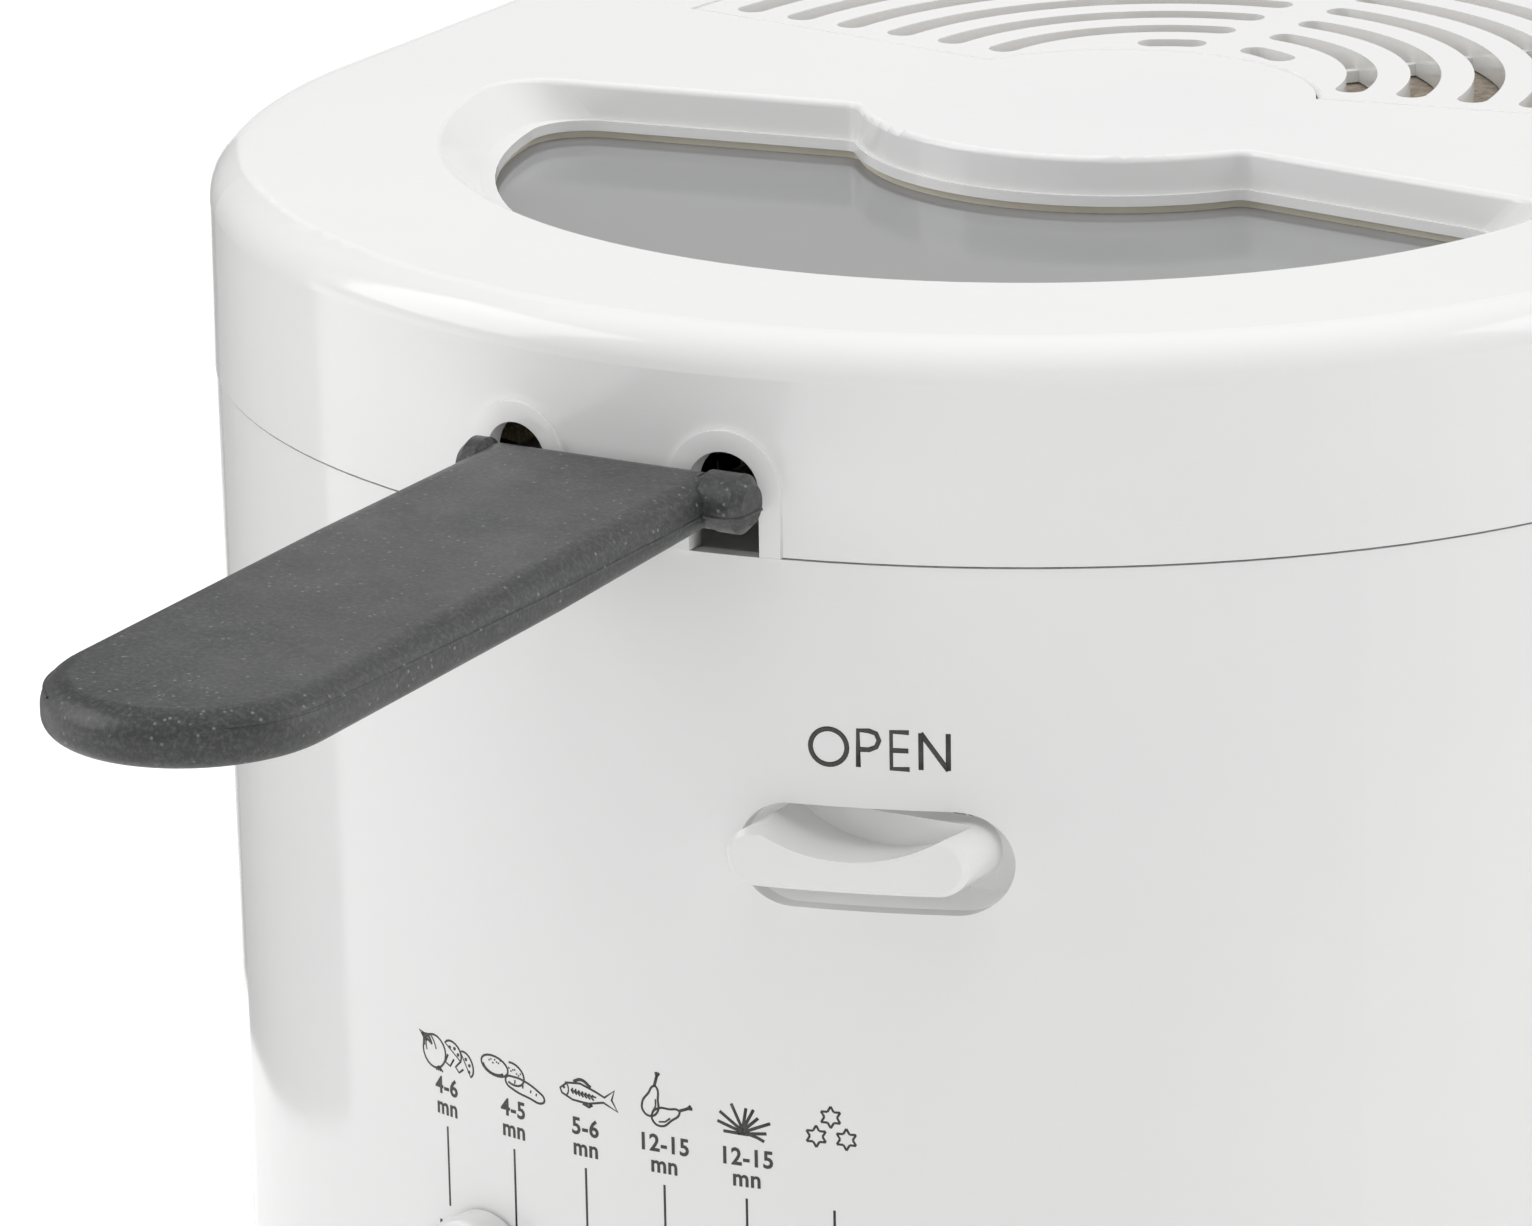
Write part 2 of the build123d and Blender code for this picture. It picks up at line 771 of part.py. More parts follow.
with BuildPart() as filter_cover:
    add(raised(cover_plan, cover_under, lid_top))
    chamfer(filter_cover.edges().group_by(Axis.Z)[-1], cover_edge)
    # concentric slots, cut up against the disc and the bridge down the middle
    with BuildSketch(level(cover_under)):
        bay = ring_centre - disc_centre
        reach = disc_radius + slot_margin + slot_width / 2
        for number in range(slot_count):
            radius = first_slot_radius + number * slot_pitch
            rise = (reach**2 - radius**2 - bay**2) / (2 * radius * bay)
            start = max(slot_start, degrees(asin(rise)) if rise > 0 else 0)
            end = degrees(acos((bridge_width + slot_width) / 2 / radius))
            for first in (start, 180 - end):
                with BuildLine() as centre_line:
                    CenterArc((0, ring_centre), radius, first, end - start)
                SlotArc(centre_line.edges()[0], slot_width)
    extrude(amount=cover_thickness, mode=Mode.SUBTRACT)
    # one radial rib across each slot, below the surface
    with BuildSketch(level(cover_under)):
        rib_inner = first_slot_radius + slot_pitch / 2
        rib_outer = first_slot_radius + (slot_count - 1) * slot_pitch + slot_width
        with Locations((0, ring_centre)):
            for angle in (cross_rib_angle, 180 - cross_rib_angle):
                with PolarLocations((rib_inner + rib_outer) / 2, 1, angle):
                    Rectangle(rib_outer - rib_inner, cross_rib_width)
    extrude(amount=cover_thickness - cross_rib_drop)
    # tabs that hook in behind, under the roof, rounded about the cover's rear edge
    with BuildPart(mode=Mode.PRIVATE) as tabs:
        for x in (-cover_tab_x, cover_tab_x):
            add(barrel(x - cover_tab_width / 2, cover_tab_width, cover_rear, lid_top, cover_tab_radius))
        split(bisect_by=Plane.XY.offset(roof - tray_gap), keep=Keep.BOTTOM)
    add(tabs.part)
save(filter_cover.part, "filter_cover")


# ======== Body ==============================================================================
def tapered(inset, bottom, top):
    """Solid that follows the body's drafted outside, moved in by inset."""
    with BuildPart() as block:
        for height in (bottom, top):
            with BuildSketch(level(height)):
                add(plan_outline(inset + wall_inset(height)))
        loft(ruled=True)
    return block.part


def drawn_forward(shape, start):
    """Solid of an upright outline seen from the front, pulled forward from start."""
    with BuildPart() as block:
        with BuildSketch(facing(-start)):
            add(shape)
        extrude(amount=front_radius + 10 - start)
    return block.part


def stadium(x, height, width, tall):
    """Round-ended outline seen from the front."""
    with BuildSketch() as outline:
        with Locations((x, height)):
            SlotOverall(width, tall)
    return outline.sketch


button_level = body_height - button_rise
recess_level = body_height - recess_rise
lever_pivot = body_height - lever_pivot_drop
base_screw_places = mirrored(
    ahead(base_screw_spread, base_screw_set_back),
    (half_width - base_screw_side, rear_reach - base_screw_rear),
)
foot_places = mirrored(
    ahead(foot_spread, foot_set_back),
    (half_width - foot_side, rear_reach - foot_rear),
)
recess_floor = front_radius - recess_set_back
recess_behind = recess_floor - recess_wall
button_back = front_radius - button_set_back
button_front = front_radius + button_stand_out
lamp_face = front_radius - wall_inset(track_height)
gland_face = rear_reach - wall_inset(gland_height)
base_foot = skirt_foot + base_gap
catch_ear_offset = lever_width / 2 + base_gap
catch_ear_starts = (catch_x - catch_ear_offset - catch_ear, catch_x + catch_ear_offset)
ear_web = [
    (rear_reach - body_wall, body_height - knuckle_radius / 2),
    (hinge_y - knuckle_radius * 0.8, body_height - knuckle_radius * 0.6),
    (hinge_y + knuckle_radius * 0.8, body_height - knuckle_radius * 0.6),
    (rear_reach - body_wall, body_height - 4 * knuckle_radius),
]

# the body moulding is kept as five simple nodes that meet: wall, back, deck, button cup, hinge ears
body_outside = tapered(0, skirt_foot, body_height)
body_inside = tapered(body_wall, skirt_foot, body_height)

with BuildPart() as body_deck:
    add(tapered(body_wall, deck_under, deck_top))
    add(pins([(0, 0)], pot_radius + pot_wall + pot_seat_gap, deck_under - 1, deck_top + 1),
        mode=Mode.SUBTRACT)
    # slot and ears for the catch
    catch_slot_depth = catch_slot_play + 2.5 * lever_thickness
    with BuildSketch(level(deck_under)):
        with Locations((catch_x, lever_arm_y - catch_slot_play + catch_slot_depth / 2)):
            Rectangle(lever_width + 2 * base_gap, catch_slot_depth)
    extrude(amount=deck_thickness, mode=Mode.SUBTRACT)
    catch_ear_shape = [
        (lever_pivot_y - catch_ear_width, deck_under + deck_thickness / 4),
        (lever_pivot_y - catch_ear_width, lever_pivot - catch_ear_width),
        (lever_pivot_y + catch_ear_width, lever_pivot - catch_ear_width),
        (lever_pivot_y + catch_ear_width + catch_ear_splay, deck_under + deck_thickness / 4),
    ]
    for start in catch_ear_starts:
        add(across(catch_ear_shape, start, catch_ear))
        add(barrel(start, catch_ear, lever_pivot_y, lever_pivot, catch_pin_radius + running_clearance),
            mode=Mode.SUBTRACT)
save(body_deck.part, "body_deck")

with BuildPart() as button_cup:
    # open button's recess, pulled straight along the button's travel
    add(drawn_forward(
        grown(stadium(button_x, recess_level, recess_width, recess_height), recess_wall),
        recess_behind))
    add(body_inside, mode=Mode.INTERSECT)
    add(drawn_forward(stadium(button_x, recess_level, recess_width, recess_height), recess_floor),
        mode=Mode.SUBTRACT)
    with BuildSketch(facing(-recess_behind)):
        with Locations((stem_x, button_level)):
            Rectangle(stem_width + 2 * stem_clearance, stem_height + 2 * stem_clearance)
    extrude(amount=recess_wall, mode=Mode.SUBTRACT)
    with BuildSketch(facing(-recess_floor)):
        with Locations((spring_x, button_level)):
            Circle(spring_post)
    extrude(amount=spring_post_length)
save(button_cup.part, "button_cup")

with BuildPart() as hinge_ears:
    for start in (-ear_inner - ear_width, ear_inner):
        add(across(ear_web, start, ear_width))
        add(barrel(start, ear_width, hinge_y, body_height, knuckle_radius))
        add(barrel(start, ear_width, hinge_y, body_height, pin_radius + running_clearance),
            mode=Mode.SUBTRACT)
    add(body_outside, mode=Mode.SUBTRACT)
save(hinge_ears.part, "hinge_ears")

with BuildPart() as back_zone:
    with BuildSketch(level(skirt_foot)):
        with Locations((0, rear_reach)):
            Rectangle(2 * back_half, 2 * (wall_inset(skirt_foot) + body_wall + base_gap))
    extrude(amount=body_height - skirt_foot)

with BuildPart() as body_back:
    add(body_outside)
    add(body_inside, mode=Mode.SUBTRACT)
    add(back_zone.part, mode=Mode.INTERSECT)
    # hole for the cord's gland
    with BuildSketch(facing(rear_reach)):
        with Locations((gland_x, gland_height)):
            Circle(gland_neck + running_clearance)
    extrude(amount=4 * body_wall, mode=Mode.SUBTRACT)
save(body_back.part, "body_back")

with BuildPart() as body_shell:
    add(body_outside)
    add(body_inside, mode=Mode.SUBTRACT)
    add(back_zone.part, mode=Mode.SUBTRACT)
    add(drawn_forward(stadium(button_x, recess_level, recess_width, recess_height), recess_floor),
        mode=Mode.SUBTRACT)
    # slot for the temperature cursor, hole for the pilot light
    with BuildSketch(level(track_height - track_width / 2)):
        add(sector(pot_radius, front_radius, first_mark - track_run_out, last_mark + track_run_out))
    extrude(amount=track_width, mode=Mode.SUBTRACT)
    with BuildSketch(radial(lamp_angle, track_height, pot_radius)):
        Circle(lens_radius + running_clearance)
    extrude(amount=front_radius - pot_radius, mode=Mode.SUBTRACT)
    # bosses for the base screws
    with BuildPart(mode=Mode.PRIVATE) as bosses:
        add(pins(base_screw_places, boss_radius, base_top + base_gap, base_top + boss_height))
        add(body_outside, mode=Mode.INTERSECT)
    add(bosses.part)
    add(pins(base_screw_places, screw_radius, base_top, base_top + screw_length), mode=Mode.SUBTRACT)
save(body_shell.part, "body_shell")

with BuildPart() as base_plate:
    add(raised(plan_outline(wall_inset(skirt_foot) + body_wall + base_gap), base_foot, base_top))
    with BuildSketch(level(base_foot)):
        with Locations((0, cheek_y)):
            with GridLocations(3 * vent_width, 2 * vent_length, vent_rows, 2):
                Rectangle(vent_width, 1.5 * vent_length)
    extrude(amount=base_thickness, mode=Mode.SUBTRACT)
    add(pins(base_screw_places, screw_radius + base_gap, base_foot, base_top), mode=Mode.SUBTRACT)
    add(pins(foot_places, foot_stem + base_gap / 2, base_foot, base_top), mode=Mode.SUBTRACT)
save(base_plate.part, "base_plate")

with BuildPart() as base_screws:
    add(pins(base_screw_places, screw_head_radius, base_foot - screw_head, base_foot))
    add(pins(base_screw_places, screw_radius, base_foot, base_foot + screw_length))
save(base_screws.part, "base_screws")

with BuildPart() as feet:
    add(pins(foot_places, foot_radius, 0, base_foot))
    chamfer(feet.edges().group_by(Axis.Z)[0], foot_edge)
    add(pins(foot_places, foot_stem, base_foot, base_top + foot_stem_proud))
save(feet.part, "feet")

with BuildPart() as terminal_block:
    with BuildSketch(level(base_top)):
        with Locations((gland_x, rear_reach - rear_corner)):
            Rectangle(terminal_size[0], terminal_size[1])
    extrude(amount=terminal_size[2])
    with BuildSketch(level(base_top + terminal_size[2])):
        with Locations((gland_x, rear_reach - rear_corner)):
            with GridLocations(terminal_pitch, terminal_pitch, 3, 1):
                Circle(terminal_hole)
    extrude(amount=-terminal_hole_depth, mode=Mode.SUBTRACT)
save(terminal_block.part, "terminal_block")

with BuildPart() as cord_gland:
    seat = facing(gland_face + draft * gland_flange + gland_lip)
    gland_length = gland_lip + body_wall + gland_tail
    with BuildSketch(seat):
        with Locations((gland_x, gland_height)):
            Circle(gland_flange)
    extrude(amount=gland_lip)
    chamfer(cord_gland.edges().group_by(Axis.Y)[-1], gland_lip / 3)
    with BuildSketch(seat):
        with Locations((gland_x, gland_height)):
            Circle(gland_neck)
    extrude(amount=gland_length)
    with BuildSketch(facing(gland_face - body_wall - base_gap)):
        with Locations((gland_x, gland_height)):
            Circle(gland_flange - gland_lip / 3)
    extrude(amount=gland_collar)
    with BuildSketch(seat):
        with Locations((gland_x, gland_height)):
            Circle(gland_bore)
    extrude(amount=gland_length, mode=Mode.SUBTRACT)
save(cord_gland.part, "cord_gland")

with BuildPart() as pilot_lens:
    lens_back = lamp_face - body_wall - lens_tail
    with BuildSketch(radial(lamp_angle, track_height, lens_back)):
        Circle(lens_radius)
    extrude(amount=lamp_face + lens_seat_gap - lens_back)
    with BuildSketch(radial(lamp_angle, track_height, lamp_face + lens_seat_gap)):
        Circle(lens_flange)
    extrude(amount=lens_rim)
    chamfer(pilot_lens.edges().sort_by(Axis.Y)[0], lens_rim / 2)
save(pilot_lens.part, "pilot_lens")

with BuildPart() as pilot_lamp:
    with BuildSketch(radial(lamp_angle, track_height, lens_back - base_gap)):
        Circle(lens_radius)
    extrude(amount=-lamp_length)
save(pilot_lamp.part, "pilot_lamp")

with BuildPart() as hinge_pin:
    pin_end = ear_inner + ear_width + pin_overhang
    add(barrel(-pin_end, 2 * pin_end, hinge_y, body_height, pin_radius))
    for start in (-pin_end, pin_end - pin_head):
        add(barrel(start, pin_head, hinge_y, body_height, pin_radius + pin_head))
save(hinge_pin.part, "hinge_pin")


# ======== Pot and heater ====================================================================
wall_outside = pot_radius + pot_wall
flange_radius = wall_outside + flange_width
corner_in = pot_radius - pot_chamfer
stud_places = [
    (stud_circle * cos(radians(a)), stud_circle * sin(radians(a))) for a in (90, 210, 330)
]
clamp_places = [(-thermostat_clamp, 0), (thermostat_clamp, 0)]
shield_top = pot_under - shield_drop
shield_under = shield_top - shield_thickness
flange_foot = pot_under - element_gap - thermostat_flange
element_ends = [90 - (360 - element_sweep) / 2, 90 + (360 - element_sweep) / 2]
element_level = pot_under - element_gap - element_radius
terminal_places = [
    (element_circle * cos(radians(a)), element_circle * sin(radians(a))) for a in element_ends
]

with BuildPart() as oil_bowl:
    add(turned([
        (0, pot_floor_top),
        (corner_in, pot_floor_top),
        (pot_radius, pot_floor_top + pot_chamfer),
        (pot_radius, flange_top),
        (flange_radius, flange_top),
        (flange_radius, flange_top - pot_wall),
        (wall_outside, flange_top - pot_wall),
        (wall_outside, pot_floor_top + pot_chamfer - pot_wall / 2),
        (corner_in + pot_wall / 2, pot_under),
        (0, pot_under),
    ]))
    # raised marks for the lowest and highest oil level
    for height in (low_level, high_level):
        with BuildSketch(facing(pot_radius + pot_wall / 2)):
            with Locations((0, pot_floor_top + height)):
                Rectangle(*level_mark_size)
        extrude(amount=pot_wall / 2 + level_mark_rise + mark_bow)
    # studs for the reflector and for the thermostat's clamp
    add(pins(stud_places, 2 * stud_radius, shield_top, pot_under))
    add(pins(stud_places, stud_radius, shield_under - nut_thickness + 1, shield_top))
    add(pins(clamp_places, stud_radius, flange_foot - nut_thickness - 1, pot_under))
save(oil_bowl.part, "oil_bowl")

with BuildPart() as bowl_gasket:
    gasket_inner = wall_outside + 1.5 * pot_seat_gap
    add(turned([
        (gasket_inner, deck_top),
        (flange_radius, deck_top),
        (flange_radius, deck_top + gasket_thickness),
        (gasket_inner, deck_top + gasket_thickness),
    ]))
save(bowl_gasket.part, "bowl_gasket")

with BuildPart() as heating_element:
    with BuildSketch(profile_plane(element_ends[1])) as section:
        with Locations((element_circle, element_level)):
            Rectangle(2 * element_radius, 2 * element_radius)
    revolve(section.sketch, axis=pot_axis, revolution_arc=element_sweep)
    add(pins(terminal_places, terminal_radius, shield_under - terminal_reach, element_level))
save(heating_element.part, "heating_element")

with BuildPart() as thermostat:
    thermostat_foot = pot_under - element_gap - thermostat_height
    add(pins([(0, 0)], thermostat_radius, thermostat_foot, pot_under - element_gap))
    with BuildSketch(level(flange_foot)):
        clamp_end = 2 * stud_radius + clamp_land
        SlotOverall(2 * (thermostat_clamp + clamp_end), 2 * clamp_end)
    extrude(amount=thermostat_flange)
    add(pins(clamp_places, stud_radius + base_gap, flange_foot, pot_under), mode=Mode.SUBTRACT)
    add(pins([(0, 0)], spindle_radius + running_clearance, thermostat_foot,
             thermostat_foot + spindle_engagement + base_gap), mode=Mode.SUBTRACT)
save(thermostat.part, "thermostat")

with BuildPart() as thermal_cutout:
    cutout_foot = pot_under - element_gap - cutout_height
    add(pins([(0, -cutout_circle)], cutout_radius, cutout_foot, pot_under - element_gap))
    with BuildSketch(level(cutout_foot + cutout_height / 2)):
        with Locations((0, -cutout_circle)):
            Rectangle(*cutout_strap)
    extrude(amount=shield_thickness)
save(thermal_cutout.part, "thermal_cutout")

with BuildPart() as heat_shield:
    add(turned([
        (thermostat_radius + pot_seat_gap, shield_under),
        (shield_radius, shield_under),
        (shield_radius, shield_top + shield_rim),
        (shield_radius - shield_thickness, shield_top + shield_rim),
        (shield_radius - shield_thickness, shield_top),
        (thermostat_radius + pot_seat_gap, shield_top),
    ]))
    add(pins(stud_places, stud_radius + base_gap, shield_under, shield_top), mode=Mode.SUBTRACT)
    add(pins(terminal_places, 2 * terminal_radius, shield_under, shield_top), mode=Mode.SUBTRACT)
save(heat_shield.part, "heat_shield")

with BuildPart() as nuts:
    for places, top in ((stud_places, shield_under), (clamp_places, flange_foot)):
        with BuildSketch(level(top - nut_thickness)):
            with Locations(places):
                RegularPolygon(nut_radius, 6)
                Circle(stud_radius + running_clearance, mode=Mode.SUBTRACT)
        extrude(amount=nut_thickness)
save(nuts.part, "nuts")


# ======== Basket ============================================================================
def radial_bar(points, width, angle):
    """Bar drawn in (radius, height), standing at an angle from the front."""
    with BuildPart() as bar:
        with BuildSketch(profile_plane(angle - 90)) as outline:
            with BuildLine():
                Polyline(points, close=True)
            make_face()
        extrude(outline.sketch, amount=width / 2, both=True)
    return bar.part


def hoop(inner, outer, bottom, top, sides=basket_columns):
    """Flat-sided ring about the pot's axis; both radii are to its corners."""
    with BuildPart() as ring:
        with BuildSketch(level(bottom)):
            RegularPolygon(outer, sides)
            RegularPolygon(inner, sides, mode=Mode.SUBTRACT)
        extrude(amount=top - bottom)
    return ring.part


def eased(points, cut):
    """Path with each corner replaced by a short straight."""
    corners = [Vector(*point) for point in points]
    path = [corners[0]]
    for before, corner, after in zip(corners, corners[1:], corners[2:]):
        path.append(corner + (before - corner).normalized() * cut)
        path.append(corner + (after - corner).normalized() * cut)
    return [*path, corners[-1]]


basket_top = body_height - basket_rim_drop
basket_foot = basket_top - basket_depth
basket_slope = (basket_top_radius - basket_foot_radius) / basket_depth
middle_height = wire_level - wire_drop
middle_radius = basket_foot_radius + basket_slope * (middle_height + basket_foot_wire / 2 - basket_foot)
foot_level = pot_floor_top + basket_seat_gap
wire_radius = handle_wire / 2
rim_radius = basket_top_radius + basket_rim - basket_foot_wire / 2
leg_y = -sqrt((rim_radius + wire_radius + basket_seat_gap)**2 - wire_x**2)
crossing_y = -(middle_radius + basket_foot_wire + wire_radius + basket_seat_gap)

with BuildPart() as basket_mesh:
    # closed cup with the mesh's true outer shape, drawn outwards to the rim
    flare = -degrees(atan(basket_slope * cos(pi / basket_columns)))
    with BuildSketch(level(basket_foot)):
        RegularPolygon(basket_foot_radius, basket_columns)
    extrude(amount=basket_depth, taper=flare)
    with BuildSketch(level(basket_foot + basket_sheet)):
        RegularPolygon(basket_foot_radius + basket_slope * basket_sheet - basket_sheet, basket_columns)
    extrude(amount=basket_depth, taper=flare, mode=Mode.SUBTRACT)
save(basket_mesh.part, "basket_mesh")

with BuildPart() as basket_frame:
    # rim, middle and lowest hoops, uprights, feet and the ring they stand on
    lowest_inner = basket_foot_radius - basket_foot_wire / 2
    add(hoop(basket_top_radius - basket_sheet, rim_radius, basket_top, basket_top + basket_rim / 2))
    add(hoop(basket_top_radius, rim_radius, basket_top - basket_rim / 2, basket_top))
    add(hoop(middle_radius, middle_radius + basket_foot_wire,
             middle_height - basket_foot_wire / 2, middle_height + basket_foot_wire / 2))
    add(hoop(lowest_inner, lowest_inner + basket_foot_wire, basket_foot - basket_foot_wire, basket_foot))
    for angle in range(30, 390, 60):
        add(radial_bar([
            (basket_foot_radius, basket_foot),
            (lowest_inner + basket_foot_wire, basket_foot),
            (basket_top_radius + basket_foot_wire / 2, basket_top),
            (basket_top_radius, basket_top),
        ], basket_foot_wire, angle))
        add(radial_bar([
            (foot_circle - basket_foot_wire, foot_level),
            (foot_circle, foot_level),
            (lowest_inner + basket_foot_wire, basket_foot - basket_foot_wire),
            (lowest_inner + basket_foot_wire, basket_foot - basket_foot_lap),
            (lowest_inner, basket_foot - basket_foot_lap),
        ], basket_foot_wire, angle))
save(basket_frame.part, "basket_frame")

with BuildPart() as handle_wires:
    with BuildLine() as path:
        Polyline(eased([
            (wire_end_right, axis_y - pivot_reach, wire_level),
            (wire_x, axis_y - pivot_reach, wire_level),
            (wire_x, axis_y + leg_y, wire_level),
            (wire_x, axis_y + crossing_y, middle_height),
            (-wire_x, axis_y + crossing_y, middle_height),
            (-wire_x, axis_y + leg_y, wire_level),
            (-wire_x, axis_y - pivot_reach, wire_level),
            (-wire_end_left, axis_y - pivot_reach, wire_level),
        ], wire_ease))
    with BuildSketch(Plane(origin=path.line @ 0, z_dir=path.line % 0)):
        Circle(wire_radius)
    sweep(transition=Transition.RIGHT)
save(handle_wires.part, "handle_wire")


# ======== Grip ==============================================================================
mould_plane = Plane(
    origin=(0, axis_y - pivot_reach - mould_offset, wire_level - grip_sag),
    x_dir=(-1, 0, 0),
    z_dir=(0, -sin(radians(grip_droop)), cos(radians(grip_droop))),
)
tip_centre = grip_length - mould_offset - grip_width / 2

with BuildPart() as handle_grip:
    for rear, corner, depth in ((mould_offset + grip_over, grip_corner, grip_above),
                                (mould_offset, 0, -grip_below)):
        with BuildSketch(mould_plane) as tongue:
            with BuildLine():
                Line((0, -rear), (grip_root_width / 2, -rear))
                Line((grip_root_width / 2, -rear), (grip_width / 2, grip_taper_length))
                Line((grip_width / 2, grip_taper_length), (grip_width / 2, tip_centre))
                CenterArc((0, tip_centre), grip_width / 2, 0, 90)
                mirror(about=Plane.YZ)
            make_face()
            if corner:
                fillet(tongue.vertices().group_by(Axis.Y)[-1], corner)
        extrude(amount=depth)
    top_face = handle_grip.faces().sort_by(Axis.Z)[-1]
    fillet(top_face.edges(), grip_top_edge)
    bottom_face = handle_grip.faces().sort_by(Axis.Z)[0]
    rear_bottom = bottom_face.edges().sort_by(Axis.Y)[-1]
    fillet([e for e in bottom_face.edges() if e != rear_bottom], grip_bottom_edge)
    add(barrel(-stub_start, 2 * stub_start, -pivot_reach, wire_level, core_radius))
    with BuildPart(mode=Mode.PRIVATE) as stubs:
        for start, end in ((-stub_left, -stub_start), (stub_start, stub_right)):
            add(barrel(start, end - start, -pivot_reach, wire_level + stub_rise, stub_radius))
        chamfer(stubs.edges().filter_by(GeomType.CIRCLE), barrel_edge)
    add(stubs.part)
    for x in (-wire_x, wire_x):
        with BuildSketch(side(x - wire_slot_outer if x < 0 else x - wire_slot_inner)):
            with Locations((-pivot_reach + wire_slot_shift, wire_level - wire_slot_shift)):
                Rectangle(wire_slot_size, wire_slot_size)
        extrude(amount=wire_slot_inner + wire_slot_outer, mode=Mode.SUBTRACT)
    add(barrel(-wire_end_left - base_gap, wire_end_left + wire_end_right + 2 * base_gap,
               -pivot_reach, wire_level, wire_radius + pivot_clearance), mode=Mode.SUBTRACT)
save(handle_grip.part, "handle_grip")


# ======== Open button and catch =============================================================
with BuildPart() as open_button:
    with BuildSketch(facing(-button_back)):
        add(stadium(button_x, button_level, button_width, button_height))
    extrude(amount=front_radius)
    with BuildSketch(level(button_level - button_height)):
        Circle(button_front)
    extrude(amount=2 * button_height, mode=Mode.INTERSECT)
    chamfer(open_button.faces().sort_by(Axis.Y)[0].edges(), button_edge)
    scoop_low = button_level + button_height / 2 - scoop_depth
    scoop_plane = Plane(
        origin=(button_x, axis_y + scoop_set_back - front_radius, scoop_low + scoop_radius),
        x_dir=(1, 0, 0),
        z_dir=(0, -cos(radians(scoop_tilt)), sin(radians(scoop_tilt))),
    )
    with BuildSketch(scoop_plane):
        Circle(scoop_radius)
    extrude(amount=button_front, mode=Mode.SUBTRACT)
    with BuildSketch(facing(-button_back)):
        with Locations((stem_x, button_level)):
            Rectangle(stem_width, stem_height)
    extrude(amount=-stem_length)
save(open_button.part, "open_button")

spring_foot = recess_floor + tray_gap + spring_wire / 2
spring_length = button_back - tray_gap - spring_wire / 2 - spring_foot
button_spring = coil(
    (spring_x, axis_y - spring_foot, button_level), (0, -1, 0),
    spring_radius, spring_wire, spring_length, spring_turns,
)
save(button_spring, "button_spring")

with BuildPart() as latch_lever:
    back = lever_face_y + lever_thickness
    lever_shape = [
        (lever_face_y, button_level - lever_foot_drop),
        (back, button_level - lever_foot_drop),
        (back, lever_pivot - 3.2 * lever_waist),
        (lever_pivot_y + lever_waist, lever_pivot - lever_waist / 4),
        (lever_pivot_y + lever_waist / 4, lever_pivot + lever_waist),
        (arm_in, lever_pivot + 2.2 * lever_waist),
        (arm_in, body_height + nose_foot),
        (nose_tip_y, body_height + nose_foot),
        (nose_tip_y, body_height + nose_foot + nose_edge),
        (arm_in, body_height + lever_top),
        (lever_arm_y, body_height + lever_top),
        (lever_arm_y, lever_pivot + 2 * lever_waist),
        (lever_pivot_y - lever_waist, lever_pivot),
        (lever_face_y, lever_pivot - 2.8 * lever_waist),
    ]
    add(across(lever_shape, catch_x - lever_width / 2, lever_width))
    add(barrel(catch_x - lever_width / 2, lever_width, lever_pivot_y, lever_pivot,
               catch_pin_radius + running_clearance), mode=Mode.SUBTRACT)
save(latch_lever.part, "latch_lever")

with BuildPart() as latch_pin:
    length = lever_width + 4 * base_gap + 2 * catch_ear
    add(barrel(catch_x - length / 2, length, lever_pivot_y, lever_pivot, catch_pin_radius))
save(latch_pin.part, "latch_pin")


# ======== Temperature control ===============================================================
lever_foot = track_height - lever_plate / 2
lever_end = front_radius - wall_inset(track_height) - body_wall - 2 * base_gap
cursor_back = front_radius - cursor_gap
cursor_front = front_radius + cursor_stand_out

with BuildPart() as temperature_lever:
    add(pins([(0, 0)], hub_radius, lever_foot, lever_foot + 2 * lever_plate))
    add(pins([(0, 0)], spindle_radius, lever_foot, thermostat_foot + spindle_engagement))
    with BuildSketch(radial(set_mark, track_height)):
        Rectangle(hub_radius + 1, lever_plate)
    extrude(amount=lever_end)
    with BuildSketch(radial(set_mark, track_height, lever_end - neck_width)):
        Rectangle(neck_width, neck_height)
    extrude(amount=cursor_back - lever_end + neck_width + neck_entry)
save(temperature_lever.part, "temperature_lever")

with BuildPart() as temperature_knob:
    with BuildSketch(radial(set_mark, track_height, cursor_back - cursor_depth)):
        SlotOverall(cursor_length, cursor_width, rotation=90)
    extrude(amount=cursor_front - cursor_back + cursor_depth)
    fillet(temperature_knob.faces().sort_by(Axis.Y)[0].edges(), cursor_edge)
    # hollowed behind so that it clears the curved body
    with BuildSketch(level(track_height - cursor_length)):
        Circle(cursor_back)
    extrude(amount=2 * cursor_length, mode=Mode.SUBTRACT)
    with BuildSketch(radial(set_mark, track_height, cursor_front)):
        with Locations((0, -cursor_length / 5)):
            Rectangle(cursor_ridge, cursor_length * 0.4)
    extrude(amount=cursor_ridge_rise)
    with BuildSketch(radial(set_mark, track_height, cursor_back - cursor_depth)):
        Rectangle(neck_width + neck_play, neck_height + neck_play)
    extrude(amount=cursor_depth + neck_entry + neck_play, mode=Mode.SUBTRACT)
save(temperature_knob.part, "temperature_knob")
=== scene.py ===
"""Compact deep fryer: materials, printing, wirework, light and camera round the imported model.

Metres, in the row's frame: the machine stands at Z = 0 and its grip points to -Y.
"""

import json
import math

import bmesh
import bpy
from mathutils import Matrix, Vector
from mathutils.bvhtree import BVHTree


